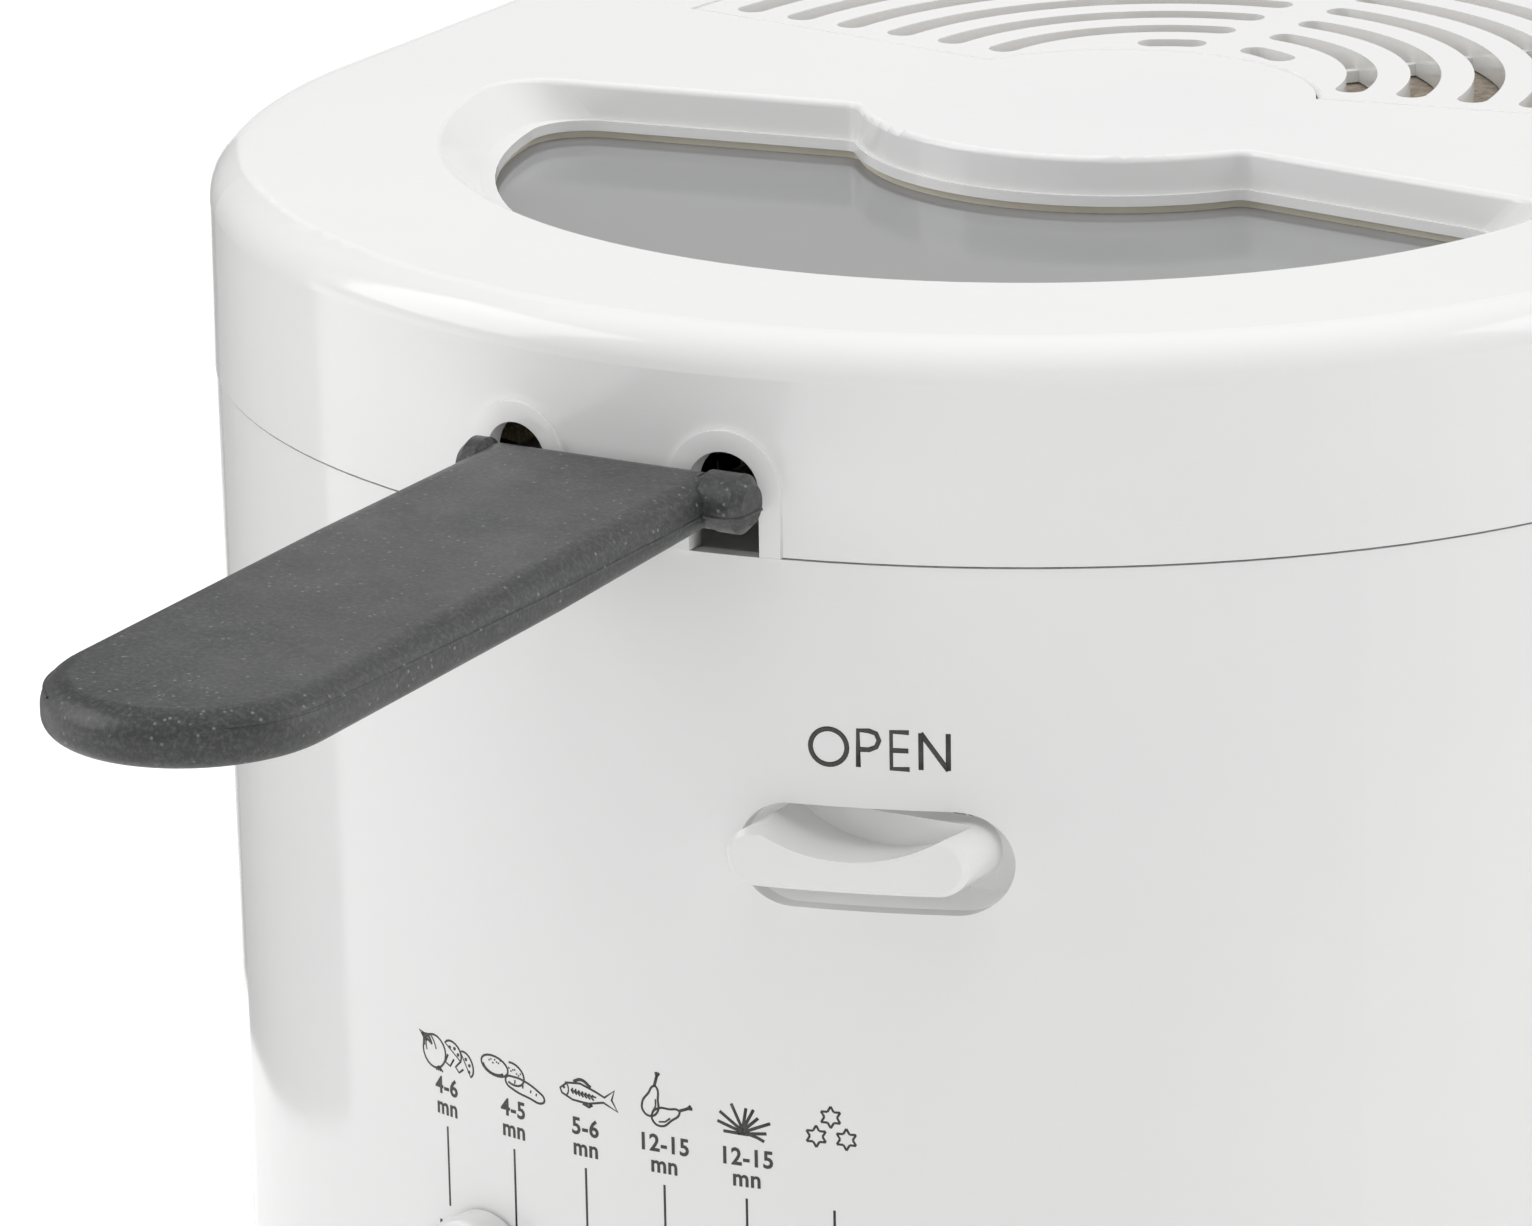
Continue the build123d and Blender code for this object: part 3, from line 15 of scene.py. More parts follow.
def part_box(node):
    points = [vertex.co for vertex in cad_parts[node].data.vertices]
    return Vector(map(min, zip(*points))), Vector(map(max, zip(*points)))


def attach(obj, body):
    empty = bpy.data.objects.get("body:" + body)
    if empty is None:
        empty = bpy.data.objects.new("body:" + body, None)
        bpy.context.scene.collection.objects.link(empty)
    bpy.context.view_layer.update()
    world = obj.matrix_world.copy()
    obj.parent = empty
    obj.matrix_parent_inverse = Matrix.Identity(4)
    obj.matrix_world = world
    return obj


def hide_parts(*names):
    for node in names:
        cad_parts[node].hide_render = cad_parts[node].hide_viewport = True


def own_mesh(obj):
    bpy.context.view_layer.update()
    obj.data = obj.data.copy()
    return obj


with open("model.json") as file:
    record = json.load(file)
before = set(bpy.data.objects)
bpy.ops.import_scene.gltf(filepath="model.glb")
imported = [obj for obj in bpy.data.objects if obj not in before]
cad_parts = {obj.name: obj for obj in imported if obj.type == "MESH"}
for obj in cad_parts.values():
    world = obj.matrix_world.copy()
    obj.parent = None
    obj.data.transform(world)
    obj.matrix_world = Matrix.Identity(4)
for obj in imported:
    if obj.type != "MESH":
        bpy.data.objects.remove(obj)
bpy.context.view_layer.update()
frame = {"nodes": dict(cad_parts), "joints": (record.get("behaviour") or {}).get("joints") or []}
nodes = frame["nodes"]
joints = {joint["name"]: joint for joint in frame["joints"]}

MM = 0.001
AXIS_Y = joints["temperature_turn"]["pos_m"][1]                # pot's upright axis
PARTING = joints["lid_open"]["pos_m"][2]                       # height between body and lid
PRINT_RADIUS = 122.9 * MM                                      # body's surface where it is printed
SAME_POINT = 0.01 * MM                                         # corners nearer than this are one

scene = bpy.context.scene
scene.view_settings.view_transform = "Standard"


# ---- Materials ------------------------------------------------------------------------------
MIX_FIRST, MIX_SECOND, MIX_RESULT = 6, 7, 2                    # a Mix node's colour sockets


class Nodes:
    """Short ways to build a node tree."""

    def __init__(self, tree):
        self.tree = tree

    def add(self, kind, numbers=None, **settings):
        """A new node with its settings and the numbers on its inputs."""
        node = self.tree.nodes.new(kind)
        for key, value in settings.items():
            setattr(node, key, value)
        for key, number in (numbers or {}).items():
            node.inputs[key].default_value = number
        return node

    def link(self, source, target):
        self.tree.links.new(source, target)

    def feed(self, value, socket):
        """Gives a socket a number, a colour or another node's output."""
        if isinstance(value, tuple):
            socket.default_value = (*value, 1)
        elif isinstance(value, (int, float)):
            socket.default_value = value
        else:
            self.link(value, socket)

    def math(self, operation, first, second):
        node = self.add("ShaderNodeMath", operation=operation)
        self.feed(first, node.inputs[0])
        self.feed(second, node.inputs[1])
        return node.outputs[0]

    def ramp(self, value, low, high, first=0.0, last=1.0):
        """Carries low to first and high to last, and stops there."""
        ends = {"From Min": low, "From Max": high, "To Min": first, "To Max": last}
        node = self.add("ShaderNodeMapRange", ends, clamp=True)
        self.link(value, node.inputs["Value"])
        return node.outputs["Result"]


class Shader(Nodes):
    """A Principled material and short ways to add procedural detail to it."""

    def __init__(self, name, colour, rough, metal=0.0, **extra):
        self.material = bpy.data.materials.new(name)
        self.material.use_nodes = True
        super().__init__(self.material.node_tree)
        self.bsdf = self.tree.nodes["Principled BSDF"]
        settings = {"Base_Color": (*colour, 1), "Roughness": rough, "Metallic": metal, **extra}
        for key, value in settings.items():
            self.bsdf.inputs[key.replace("_", " ")].default_value = value
        self.space = self.add("ShaderNodeTexCoord").outputs["Object"]
        self.normal = None

    def stretched(self, stretch):
        if stretch is None:
            return self.space
        node = self.add("ShaderNodeMapping", {"Scale": stretch})
        self.link(self.space, node.inputs["Vector"])
        return node.outputs["Vector"]

    def noise(self, scale, detail=3.0, rough=0.5, stretch=None):
        node = self.add("ShaderNodeTexNoise", {"Scale": scale, "Detail": detail, "Roughness": rough})
        self.link(self.stretched(stretch), node.inputs["Vector"])
        return node.outputs["Fac"]

    def wander(self, scale, detail, low=0.0, high=1.0):
        """Noise that wanders all the way between low and high."""
        return self.ramp(self.noise(scale, detail), 0.3, 0.7, low, high)

    def cells(self, scale):
        """Distance from the middle of the nearest random cell."""
        node = self.add("ShaderNodeTexVoronoi", {"Scale": scale})
        self.link(self.space, node.inputs["Vector"])
        return node.outputs["Distance"]

    def dots(self, scale, core, rim):
        """1 inside each random dot's core and 0 outside its rim."""
        return self.ramp(self.cells(scale), core, rim, 1.0, 0.0)

    def flutes(self, scale):
        node = self.add("ShaderNodeTexWave", {"Scale": scale}, bands_direction="X")
        self.link(self.space, node.inputs["Vector"])
        return node.outputs["Fac"]

    def mix(self, factor, first, second):
        node = self.add("ShaderNodeMix", data_type="RGBA")
        self.link(factor, node.inputs["Factor"])
        self.feed(first, node.inputs[MIX_FIRST])
        self.feed(second, node.inputs[MIX_SECOND])
        return node.outputs[MIX_RESULT]

    def colour(self, value):
        self.link(value, self.bsdf.inputs["Base Color"])

    def roughness(self, value):
        self.link(value, self.bsdf.inputs["Roughness"])

    def bump(self, height, distance, strength=1.0):
        """Adds relief of that height over what is there already."""
        node = self.add("ShaderNodeBump", {"Strength": strength, "Distance": distance})
        self.link(height, node.inputs["Height"])
        if self.normal is not None:
            self.link(self.normal, node.inputs["Normal"])
        self.normal = node.outputs["Normal"]
        self.link(self.normal, self.bsdf.inputs["Normal"])


def white_plastic(name="white_plastic", glow=0.0):
    """Glossy injection-moulded white, with faint orange peel, flow marks and specks.

    glow is painted light: an even emission that brightens a shaded recess.
    """
    look = Shader(name, (0.80, 0.80, 0.79), 0.16, IOR=1.5,
                  Emission_Color=(1, 1, 1, 1), Emission_Strength=glow)
    tone = look.ramp(look.noise(9, 4), 0.35, 0.65)
    base = look.mix(tone, (0.795, 0.797, 0.792), (0.825, 0.825, 0.817))
    patches = look.ramp(look.noise(60), 0.62, 0.68)
    specks = look.math("MULTIPLY", look.dots(380, 0.012, 0.03), patches)
    look.colour(look.mix(specks, base, (0.55, 0.54, 0.50)))
    look.roughness(look.wander(35, 5, 0.08, 0.15))
    look.bump(look.noise(420, 2), 0.02 * MM, 0.35)
    look.bump(look.noise(14, 3), 0.6 * MM, 0.12)
    return look.material


def grip_rubber():
    """Charcoal soft-touch plastic with powdery patches, fine pale dust and a faint grain."""
    look = Shader("grip_charcoal", (0.035, 0.036, 0.037), 0.42, IOR=1.5)
    base = look.mix(look.wander(28, 4), (0.028, 0.029, 0.029), (0.040, 0.041, 0.041))
    powder = look.mix(look.ramp(look.noise(1400, 4, 0.7), 0.45, 0.75), base, (0.085, 0.087, 0.085))
    patches = look.ramp(look.noise(240, 3), 0.45, 0.55)
    dust = look.math("MULTIPLY", look.dots(640, 0.09, 0.20), patches)
    look.colour(look.mix(dust, powder, (0.17, 0.175, 0.17)))
    look.roughness(look.wander(90, 4, 0.34, 0.46))
    look.bump(look.noise(900, 3), 0.03 * MM, 0.6)
    look.bump(look.noise(3200, 2), 0.01 * MM, 0.5)
    return look.material


def smoked_pane():
    """Smoke-grey window with a slight haze."""
    look = Shader("smoked_pane", (0.30, 0.305, 0.31), 0.09, IOR=1.5, Transmission_Weight=0.25)
    look.colour(look.mix(look.wander(12, 3), (0.31, 0.313, 0.317), (0.35, 0.352, 0.355)))
    look.roughness(look.wander(50, 4, 0.07, 0.12))
    look.bump(look.noise(20, 2), 0.3 * MM, 0.08)
    return look.material


def gold_liner():
    """Gold-coloured anodised sheet with a fine sparkling grain."""
    look = Shader("gold_liner", (0.66, 0.56, 0.40), 0.36, metal=0.65)
    grain = look.ramp(look.cells(1500), 0.1, 0.6)
    look.colour(look.mix(grain, (0.78, 0.68, 0.50), (0.50, 0.41, 0.27)))
    look.roughness(look.wander(700, 3, 0.26, 0.46))
    look.bump(look.noise(1800, 2), 0.04 * MM, 0.8)
    return look.material


def coated_pot():
    """Dark non-stick coating with tiny pale flecks."""
    look = Shader("coated_pot", (0.05, 0.05, 0.052), 0.4)
    look.colour(look.mix(look.dots(900, 0.08, 0.16), (0.045, 0.045, 0.048), (0.28, 0.28, 0.28)))
    look.roughness(look.wander(120, 4, 0.32, 0.48))
    look.bump(look.noise(1300, 3), 0.04 * MM, 0.6)
    return look.material


def steel(name, colour, rough, stretch):
    """Metal with fine drawn lines along one direction."""
    look = Shader(name, colour, rough, metal=1.0)
    lines = look.noise(300, 3, stretch=stretch)
    darker = tuple(0.8 * channel for channel in colour)
    look.colour(look.mix(look.ramp(lines, 0.3, 0.7), darker, colour))
    look.roughness(look.ramp(lines, 0.3, 0.7, 0.7 * rough, 1.4 * rough))
    look.bump(lines, 0.02 * MM, 0.4)
    return look.material


def silicone():
    """Pale beige seal, with bloom."""
    look = Shader("pale_silicone", (0.66, 0.62, 0.52), 0.5)
    look.colour(look.mix(look.wander(60, 4), (0.60, 0.56, 0.46), (0.72, 0.68, 0.58)))
    look.roughness(look.wander(150, 3, 0.42, 0.6))
    look.bump(look.noise(900, 2), 0.03 * MM, 0.5)
    return look.material


def rubber(name, colour):
    """Matt moulded rubber or plastic with a fine erosion texture."""
    look = Shader(name, colour, 0.6)
    lighter = tuple(1.5 * channel for channel in colour)
    look.colour(look.mix(look.ramp(look.noise(70, 4), 0.35, 0.7), colour, lighter))
    look.roughness(look.wander(200, 3, 0.5, 0.72))
    look.bump(look.cells(1400), 0.04 * MM, 0.6)
    return look.material


def fibre_mat(name, dark, light, scale):
    """Non-woven filter mat: tangled fibres with a quilted unevenness."""
    look = Shader(name, light, 0.9, Sheen_Weight=0.25)
    strands = look.noise(scale, 6, 0.75, stretch=(1, 2.2, 1))
    others = look.noise(scale * 1.3, 6, 0.75, stretch=(2.4, 1, 1))
    tangle = look.math("MULTIPLY", strands, others)
    look.colour(look.mix(look.ramp(tangle, 0.12, 0.38), dark, light))
    look.bump(tangle, 0.8 * MM, 0.9)
    look.bump(look.noise(90, 3), 1.5 * MM, 0.5)
    return look.material


def lamp_red():
    """Clear red lens with fine flutes behind it."""
    look = Shader("lamp_red", (0.72, 0.05, 0.02), 0.12, IOR=1.5, Transmission_Weight=0.35)
    flutes = look.ramp(look.flutes(260), 0.2, 0.8)
    look.colour(look.mix(flutes, (0.62, 0.03, 0.015), (0.80, 0.09, 0.04)))
    look.roughness(look.wander(300, 2, 0.08, 0.16))
    return look.material


def print_ink():
    """Pad-printed charcoal ink with slightly uneven cover."""
    look = Shader("print_ink", (0.035, 0.035, 0.033), 0.38)
    cover = look.ramp(look.noise(2600, 4), 0.3, 0.75)
    look.colour(look.mix(cover, (0.022, 0.022, 0.021), (0.05, 0.05, 0.047)))
    look.roughness(look.wander(1500, 2, 0.3, 0.45))
    return look.material


WHITE = white_plastic()
# The cup round the button glows: painted light that brightens its shaded recess.
PAINTED_LIGHT_CUP = white_plastic("white_cup_painted_light", glow=0.13)
GRIP = grip_rubber()
PANE = smoked_pane()
GOLD = gold_liner()
POT = coated_pot()
STEEL = steel("satin_steel", (0.60, 0.60, 0.59), 0.3, (1, 14, 1))
WIRE = steel("bright_wire", (0.78, 0.77, 0.75), 0.16, (1, 8, 1))
SEAL = silicone()
FOOT = rubber("foot_rubber", (0.022, 0.022, 0.023))
GREY = rubber("inner_grey", (0.11, 0.11, 0.115))
BLACK = rubber("gland_black", (0.018, 0.018, 0.018))
CARBON = fibre_mat("carbon_felt", (0.008, 0.008, 0.008), (0.035, 0.035, 0.035), 260)
GREASE = fibre_mat("grease_mat", (0.16, 0.12, 0.08), (0.50, 0.43, 0.34), 300)
LAMP = lamp_red()
INK = print_ink()

WEARS = {
    WHITE: ("lid_shell", "lid_skirt", "lid_lugs", "notch_beads", "filter_cover", "body_shell",
            "body_back", "body_deck", "hinge_ears", "open_button", "temperature_knob"),
    PAINTED_LIGHT_CUP: ("button_cup",),
    GRIP: ("handle_grip",),
    PANE: ("window_pane",),
    GOLD: ("lid_inner", "heat_shield"),
    POT: ("oil_bowl",),
    STEEL: ("base_screws", "lid_screws", "hinge_pin", "latch_pin", "nuts", "heating_element",
            "thermostat"),
    WIRE: ("basket_mesh", "basket_frame", "handle_wire", "button_spring"),
    SEAL: ("bowl_gasket", "window_gasket"),
    FOOT: ("feet",),
    GREY: ("base_plate", "terminal_block", "latch_lever", "temperature_lever", "thermal_cutout",
           "pilot_lamp"),
    BLACK: ("cord_gland",),
    CARBON: ("carbon_filter",),
    GREASE: ("grease_filter",),
    LAMP: ("pilot_lens",),
}
for material, names in WEARS.items():
    for name in names:
        mesh = nodes[name].data
        mesh.materials.clear()
        mesh.materials.append(material)
        for polygon in mesh.polygons:
            polygon.material_index = 0


def new_piece(name, mesh, material, body):
    """A finished mesh becomes a piece that rides on a body."""
    piece = bpy.data.objects.new(name, mesh)
    scene.collection.objects.link(piece)
    mesh.materials.clear()
    mesh.materials.append(material)
    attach(piece, body)
    return piece


def welded_copy(name):
    """A bmesh of a node's surface, with corners that coincide made one."""
    mesh = bmesh.new()
    mesh.from_mesh(nodes[name].data)
    bmesh.ops.remove_doubles(mesh, verts=mesh.verts, dist=SAME_POINT)
    return mesh


# ---- Wirework and edges ---------------------------------------------------------------------
WIRE_SIDES = 6


def wire(mesh, points, radius, closed=False):
    """Adds a round wire along points to a bmesh."""
    count = len(points)
    turns = [math.tau * k / WIRE_SIDES for k in range(WIRE_SIDES)]
    side = None
    rings = []
    for i, point in enumerate(points):
        before = points[i - 1] if closed or i else point
        after = points[(i + 1) % count] if closed or i + 1 < count else point
        along = (after - before).normalized()
        side = along.orthogonal() if side is None else side
        side = (side - side.dot(along) * along).normalized()
        across = along.cross(side)
        spokes = [math.cos(turn) * side + math.sin(turn) * across for turn in turns]
        rings.append([mesh.verts.new(point + radius * spoke) for spoke in spokes])
    for i in range(count if closed else count - 1):
        first, second = rings[i], rings[(i + 1) % count]
        for k in range(WIRE_SIDES):
            onward = (k + 1) % WIRE_SIDES
            mesh.faces.new((first[k], first[onward], second[onward], second[k]))
    if not closed:
        mesh.faces.new(rings[0][::-1])
        mesh.faces.new(rings[-1])


def finish_wire(name, mesh, material, body):
    """Makes a piece of a bmesh of wires, smooth along them and flat at their cut ends."""
    bmesh.ops.recalc_face_normals(mesh, faces=mesh.faces)
    data = bpy.data.meshes.new(name)
    mesh.to_mesh(data)
    mesh.free()
    for polygon in data.polygons:
        polygon.use_smooth = len(polygon.vertices) == 4
    return new_piece(name, data, material, body)


def basket_wires():
    """Welded mesh of the basket: uprights turned in under the floor, hoops, and a floor grid."""
    thick = 0.45 * MM                       # radius of a wire
    weld = 1.8 * thick                      # between the middles of two wires that cross
    low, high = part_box("basket_mesh")
    foot, top = low.z + 3 * thick, high.z - thick
    foot_radius, top_radius = 73.9 * MM, 81.5 * MM
    uprights, hoops = 104, 15
    bend, bend_steps = 5 * MM, 4            # at an upright's foot
    lap = 12 * MM                           # how far an upright reaches in under the floor
    pitch = 5 * MM                          # of the floor's grid
    reach = foot_radius - 1.2 * bend        # radius of the floor's grid
    last = int(reach / pitch)

    def place(radius, turn, height):
        return Vector((radius * math.cos(turn), AXIS_Y + radius * math.sin(turn), height))

    def radius_at(height):
        return foot_radius + (top_radius - foot_radius) * (height - foot) / (top - foot)

    turns = [math.tau * i / uprights for i in range(uprights)]
    side = [(top_radius, top)]
    for i in range(bend_steps + 1):
        turn = math.radians(90 * i / bend_steps)
        side.append((foot_radius - bend * (1 - math.cos(turn)), foot + bend * (1 - math.sin(turn))))
    side.append((foot_radius - lap, foot))
    mesh = bmesh.new()
    for turn in turns:
        wire(mesh, [place(radius, turn, height) for radius, height in side], thick)
    for k in range(hoops):
        height = foot + bend + (top - foot - bend) * k / (hoops - 1)
        radius = radius_at(height) - weld
        wire(mesh, [place(radius, turn, height) for turn in turns], thick, closed=True)
    for k in range(-last, last + 1):
        half = math.sqrt(reach**2 - (k * pitch) ** 2)
        for level, flip in ((foot, False), (foot - weld, True)):
            ends = [Vector((k * pitch, sign * half, 0)) for sign in (-1, 1)]
            if flip:
                ends = [Vector((end.y, end.x, 0)) for end in ends]
            wire(mesh, [end + Vector((0, AXIS_Y, level)) for end in ends], thick)
    piece = finish_wire("basket_wires", mesh, WIRE, "basket")
    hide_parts("basket_mesh")


def grip_seam():
    """Fine raised mould line round the grip's side, left out at the tip."""
    rise = 0.52                             # its height as a share of the grip's thickness
    radius = 0.22 * MM
    bare_tip = 6 * MM
    low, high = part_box("handle_grip")
    level = low.z + rise * (high.z - low.z)
    mesh = welded_copy("handle_grip")
    everything = mesh.verts[:] + mesh.edges[:] + mesh.faces[:]
    cut = bmesh.ops.bisect_plane(mesh, geom=everything, plane_co=(0, 0, level), plane_no=(0, 0, 1))
    edges = {item for item in cut["geom_cut"] if isinstance(item, bmesh.types.BMEdge)}
    corners = [item for item in cut["geom_cut"] if isinstance(item, bmesh.types.BMVert)]
    walk = [min(corners, key=lambda corner: corner.co.y)]
    while onward := [edge for edge in walk[-1].link_edges if edge in edges]:
        edges.remove(onward[0])
        walk.append(onward[0].other_vert(walk[-1]))
    points = [corner.co.copy() for corner in walk if corner.co.y > low.y + bare_tip]
    mesh.free()
    line = bmesh.new()
    wire(line, points, radius)
    finish_wire("grip_seam", line, GRIP, "handle")


def return_spring():
    """The button's spring, copied as a piece with its own mesh that rides on the housing; the real spring
    shortens as the button goes in.
    """
    data = nodes["button_spring"].data.copy()
    piece = new_piece("return_spring", data, WIRE, "housing")
    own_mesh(piece)
    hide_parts("button_spring")


def soft_beads():
    """The beads round the wire notches, with their proud outer edges rounded."""
    proud = PRINT_RADIUS + 1.6 * MM         # edges further out than this are rounded
    rounding, steps = 0.75 * MM, 4
    crisp, smooth = math.radians(40), math.radians(35)
    mesh = welded_copy("notch_beads")
    far = {corner for corner in mesh.verts if math.hypot(corner.co.x, corner.co.y - AXIS_Y) > proud}
    edges = [edge for edge in mesh.edges if set(edge.verts) <= far and edge.calc_face_angle(0) > crisp]
    bmesh.ops.bevel(mesh, geom=edges, offset=rounding, offset_type="OFFSET", segments=steps,
                    profile=0.5, affect="EDGES", clamp_overlap=True)
    data = bpy.data.meshes.new("soft_beads")
    mesh.to_mesh(data)
    mesh.free()
    for polygon in data.polygons:
        polygon.use_smooth = True
    data.set_sharp_from_angle(angle=smooth)
    piece = new_piece("soft_beads", data, WHITE, "lid")
    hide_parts("notch_beads")


basket_wires()
grip_seam()
return_spring()
soft_beads()


# ---- Printing -------------------------------------------------------------------------------
# Millimetres: across the body's front from its middle, and up from the parting.
THIN, PEN, THICK = 0.26, 0.34, 0.48         # widths of a stroke
CAPITAL = 0.73                              # a capital's height as a share of the font's size
LETTER, BOLD = 2.62, 0.085                  # height of a capital, and what makes it bolder
WORD_DEPTH, SPOT_DEPTH = 0.2, 0.3           # before the ink is flattened
SPOT_SIDES = 12
SAME_INK = 0.0005                           # corners of ink nearer than this are one
LONGEST = 1.6                               # longer edges are cut, so that the ink bends
FLATTEN = 0.12                              # what is left of the ink's own height
INK_LIFT = 0.02 * MM
OUTSIDE = 0.2                               # metres from the axis, where a ray starts inward


def surface_tree(name):
    """A node's surface, for rays."""
    mesh = nodes[name].data
    mesh.calc_loop_triangles()
    corners = [vertex.co.copy() for vertex in mesh.vertices]
    return BVHTree.FromPolygons(corners, [tuple(face.vertices) for face in mesh.loop_triangles])


BODY_SURFACE = surface_tree("body_shell")


def on_body(across, height, lift):
    """Point over the body's front, lift metres out from it."""
    turn = across * MM / PRINT_RADIUS
    out = Vector((math.sin(turn), -math.cos(turn), 0))
    level = Vector((0, AXIS_Y, PARTING + height * MM))
    hit = BODY_SURFACE.ray_cast(level + OUTSIDE * out, -out)[0]
    return hit + (INK_LIFT + lift) * out


class Print:
    """Collects ink: pen strokes, spots and words round an origin."""

    def __init__(self, name):
        self.name = name
        self.mesh = bmesh.new()
        self.origin = (0.0, 0.0)

    def place(self, x, y):
        return self.origin[0] + x, self.origin[1] + y

    def take(self, data):
        """Turns a curve into faces and keeps them."""
        carrier = bpy.data.objects.new("ink", data)
        scene.collection.objects.link(carrier)
        bpy.context.view_layer.update()
        evaluated = carrier.evaluated_get(bpy.context.evaluated_depsgraph_get())
        solid = bpy.data.meshes.new_from_object(evaluated)
        self.mesh.from_mesh(solid)
        bpy.data.objects.remove(carrier)
        bpy.data.meshes.remove(solid)

    def stroke(self, points, width, closed=False, smooth=False):
        data = bpy.data.curves.new("stroke", "CURVE")
        data.dimensions = "3D"
        data.bevel_depth = width / 2
        data.bevel_resolution = 1
        data.use_fill_caps = True
        data.resolution_u = 6
        places = [self.place(x, y) for x, y in points]
        if smooth:
            spline = data.splines.new("BEZIER")
            spline.bezier_points.add(len(places) - 1)
            for knot, (x, y) in zip(spline.bezier_points, places):
                knot.co = (x, y, 0)
                knot.handle_left_type = knot.handle_right_type = "AUTO"
        else:
            spline = data.splines.new("POLY")
            spline.points.add(len(places) - 1)
            for knot, (x, y) in zip(spline.points, places):
                knot.co = (x, y, 0, 1)
        spline.use_cyclic_u = closed
        self.take(data)

    def spot(self, x, y, radius):
        disc = bmesh.ops.create_cone(self.mesh, cap_ends=True, segments=SPOT_SIDES,
                                     radius1=radius, radius2=radius, depth=SPOT_DEPTH)
        bmesh.ops.translate(self.mesh, verts=disc["verts"], vec=(*self.place(x, y), 0))

    def word(self, text, x, y, squeeze, spacing=1.0):
        """Centred text that stands on y, narrowed by squeeze."""
        data = bpy.data.curves.new("word", "FONT")
        data.body = text
        data.size = LETTER / CAPITAL
        data.offset = BOLD
        data.extrude = WORD_DEPTH
        data.resolution_u = 3
        data.align_x = "CENTER"
        data.space_character = spacing
        before = len(self.mesh.verts)
        self.take(data)
        self.mesh.verts.ensure_lookup_table()
        x, y = self.place(x, y)
        for vertex in self.mesh.verts[before:]:
            vertex.co.x = vertex.co.x * squeeze + x
            vertex.co.y += y

    def finish(self):
        """Cuts the ink small enough to bend, flattens it and lays it on the body."""
        mesh = self.mesh
        bmesh.ops.remove_doubles(mesh, verts=mesh.verts, dist=SAME_INK)
        for _ in range(3):
            long = [e for e in mesh.edges if abs(e.verts[0].co.x - e.verts[1].co.x) > LONGEST]
            if not long:
                break
            bmesh.ops.subdivide_edges(mesh, edges=long, cuts=1, use_grid_fill=False)
        bmesh.ops.triangulate(mesh, faces=mesh.faces)
        for vertex in mesh.verts:
            vertex.co = on_body(vertex.co.x, vertex.co.y, vertex.co.z * FLATTEN * MM)
        bmesh.ops.recalc_face_normals(mesh, faces=mesh.faces)
        data = bpy.data.meshes.new(self.name)
        mesh.to_mesh(data)
        mesh.free()
        new_piece(self.name, data, INK, "housing")


def polar(radius, degrees):
    angle = math.radians(degrees)
    return radius * math.cos(angle), radius * math.sin(angle)


def laid(points, x, y, tilt):
    """Points turned tilt degrees about the origin and then moved by x and y."""
    cos, sin = polar(1, tilt)
    return [(x + right * cos - up * sin, y + right * sin + up * cos) for right, up in points]


def ring(x, y, long, short, tilt=0.0, start=0.0, end=360.0, count=20):
    """Points of an ellipse or of part of one; a whole one leaves out the last point."""
    steps = count if end - start >= 360 else count - 1
    found = []
    for i in range(count):
        cos, sin = polar(1, start + (end - start) * i / steps)
        found.append((long * cos, short * sin))
    return laid(found, x, y, tilt)


def open_word():
    """The button's word, in drawn capitals: a ring for the O, then P, E and N by their stems."""
    ink = Print("open_word")
    pen = 0.72
    foot, top = -29.3, -23.95
    middle = (top + foot) / 2
    p, e, n, n_end = 35.05, 39.7, 43.85, 47.65
    ink.stroke(ring(30.85, middle, 2.6, 2.6, count=28), pen, closed=True)
    ink.stroke([(p, foot), (p, top), (p + 1.55, top), (p + 2.55, top - 0.35), (p + 2.95, top - 1.35),
                (p + 2.55, top - 2.3), (p + 1.55, top - 2.75), (p, top - 2.75)], pen)
    ink.stroke([(e + 2.5, top), (e, top), (e, foot), (e + 2.55, foot)], pen)
    ink.stroke([(e, middle), (e + 2.4, middle)], pen)
    ink.stroke([(n, foot), (n, top)], pen)
    ink.stroke([(n, top), (n_end, foot)], pen)
    ink.stroke([(n_end, foot), (n_end, top)], pen)
    ink.finish()


# The pictures are drawn round the middle of their column.
def draw_onion_and_mushrooms(ink):
    """Onion with a cut face and roots, and two mushrooms."""
    ink.stroke(ring(-2.4, -0.1, 2.5, 2.5), PEN, closed=True)
    ink.stroke(ring(-3.0, -0.1, 2.4, 1.1, 105, -88, 88, 12), THIN)
    ink.stroke(ring(-3.7, 0.2, 1.9, 0.9, 105, -80, 80, 12), THICK)
    ink.stroke([(-4.7, 1.4), (-5.7, 2.4), (-4.3, 2.0)], PEN)
    for x in (-2.1, -1.6, -1.1, -0.6):
        ink.stroke([(-1.5, -2.2), (x, -2.9)], PEN)
    for x in (-4.6, -4.0, -3.3):
        ink.stroke([(-5.0, 2.1), (x, 1.0)], PEN)
    ink.stroke(ring(1.6, 0.7, 1.9, 1.45, -35, 0, 180, 12), PEN, closed=True)
    ink.stroke([(0.6, 0.1), (0.0, -1.2), (1.0, -1.6), (1.8, -0.4)], PEN)
    ink.stroke(ring(4.2, -0.6, 2.0, 1.45, -60, 0, 180, 12), PEN, closed=True)
    ink.stroke([(3.3, -0.3), (2.1, -1.5), (2.8, -2.2), (3.7, -1.5)], PEN)
    for x, y in ((1.0, 1.3), (2.0, 1.3), (2.7, 0.5), (4.3, 0.2), (5.0, -0.6), (4.9, -1.6)):
        ink.spot(x, y, 0.27)


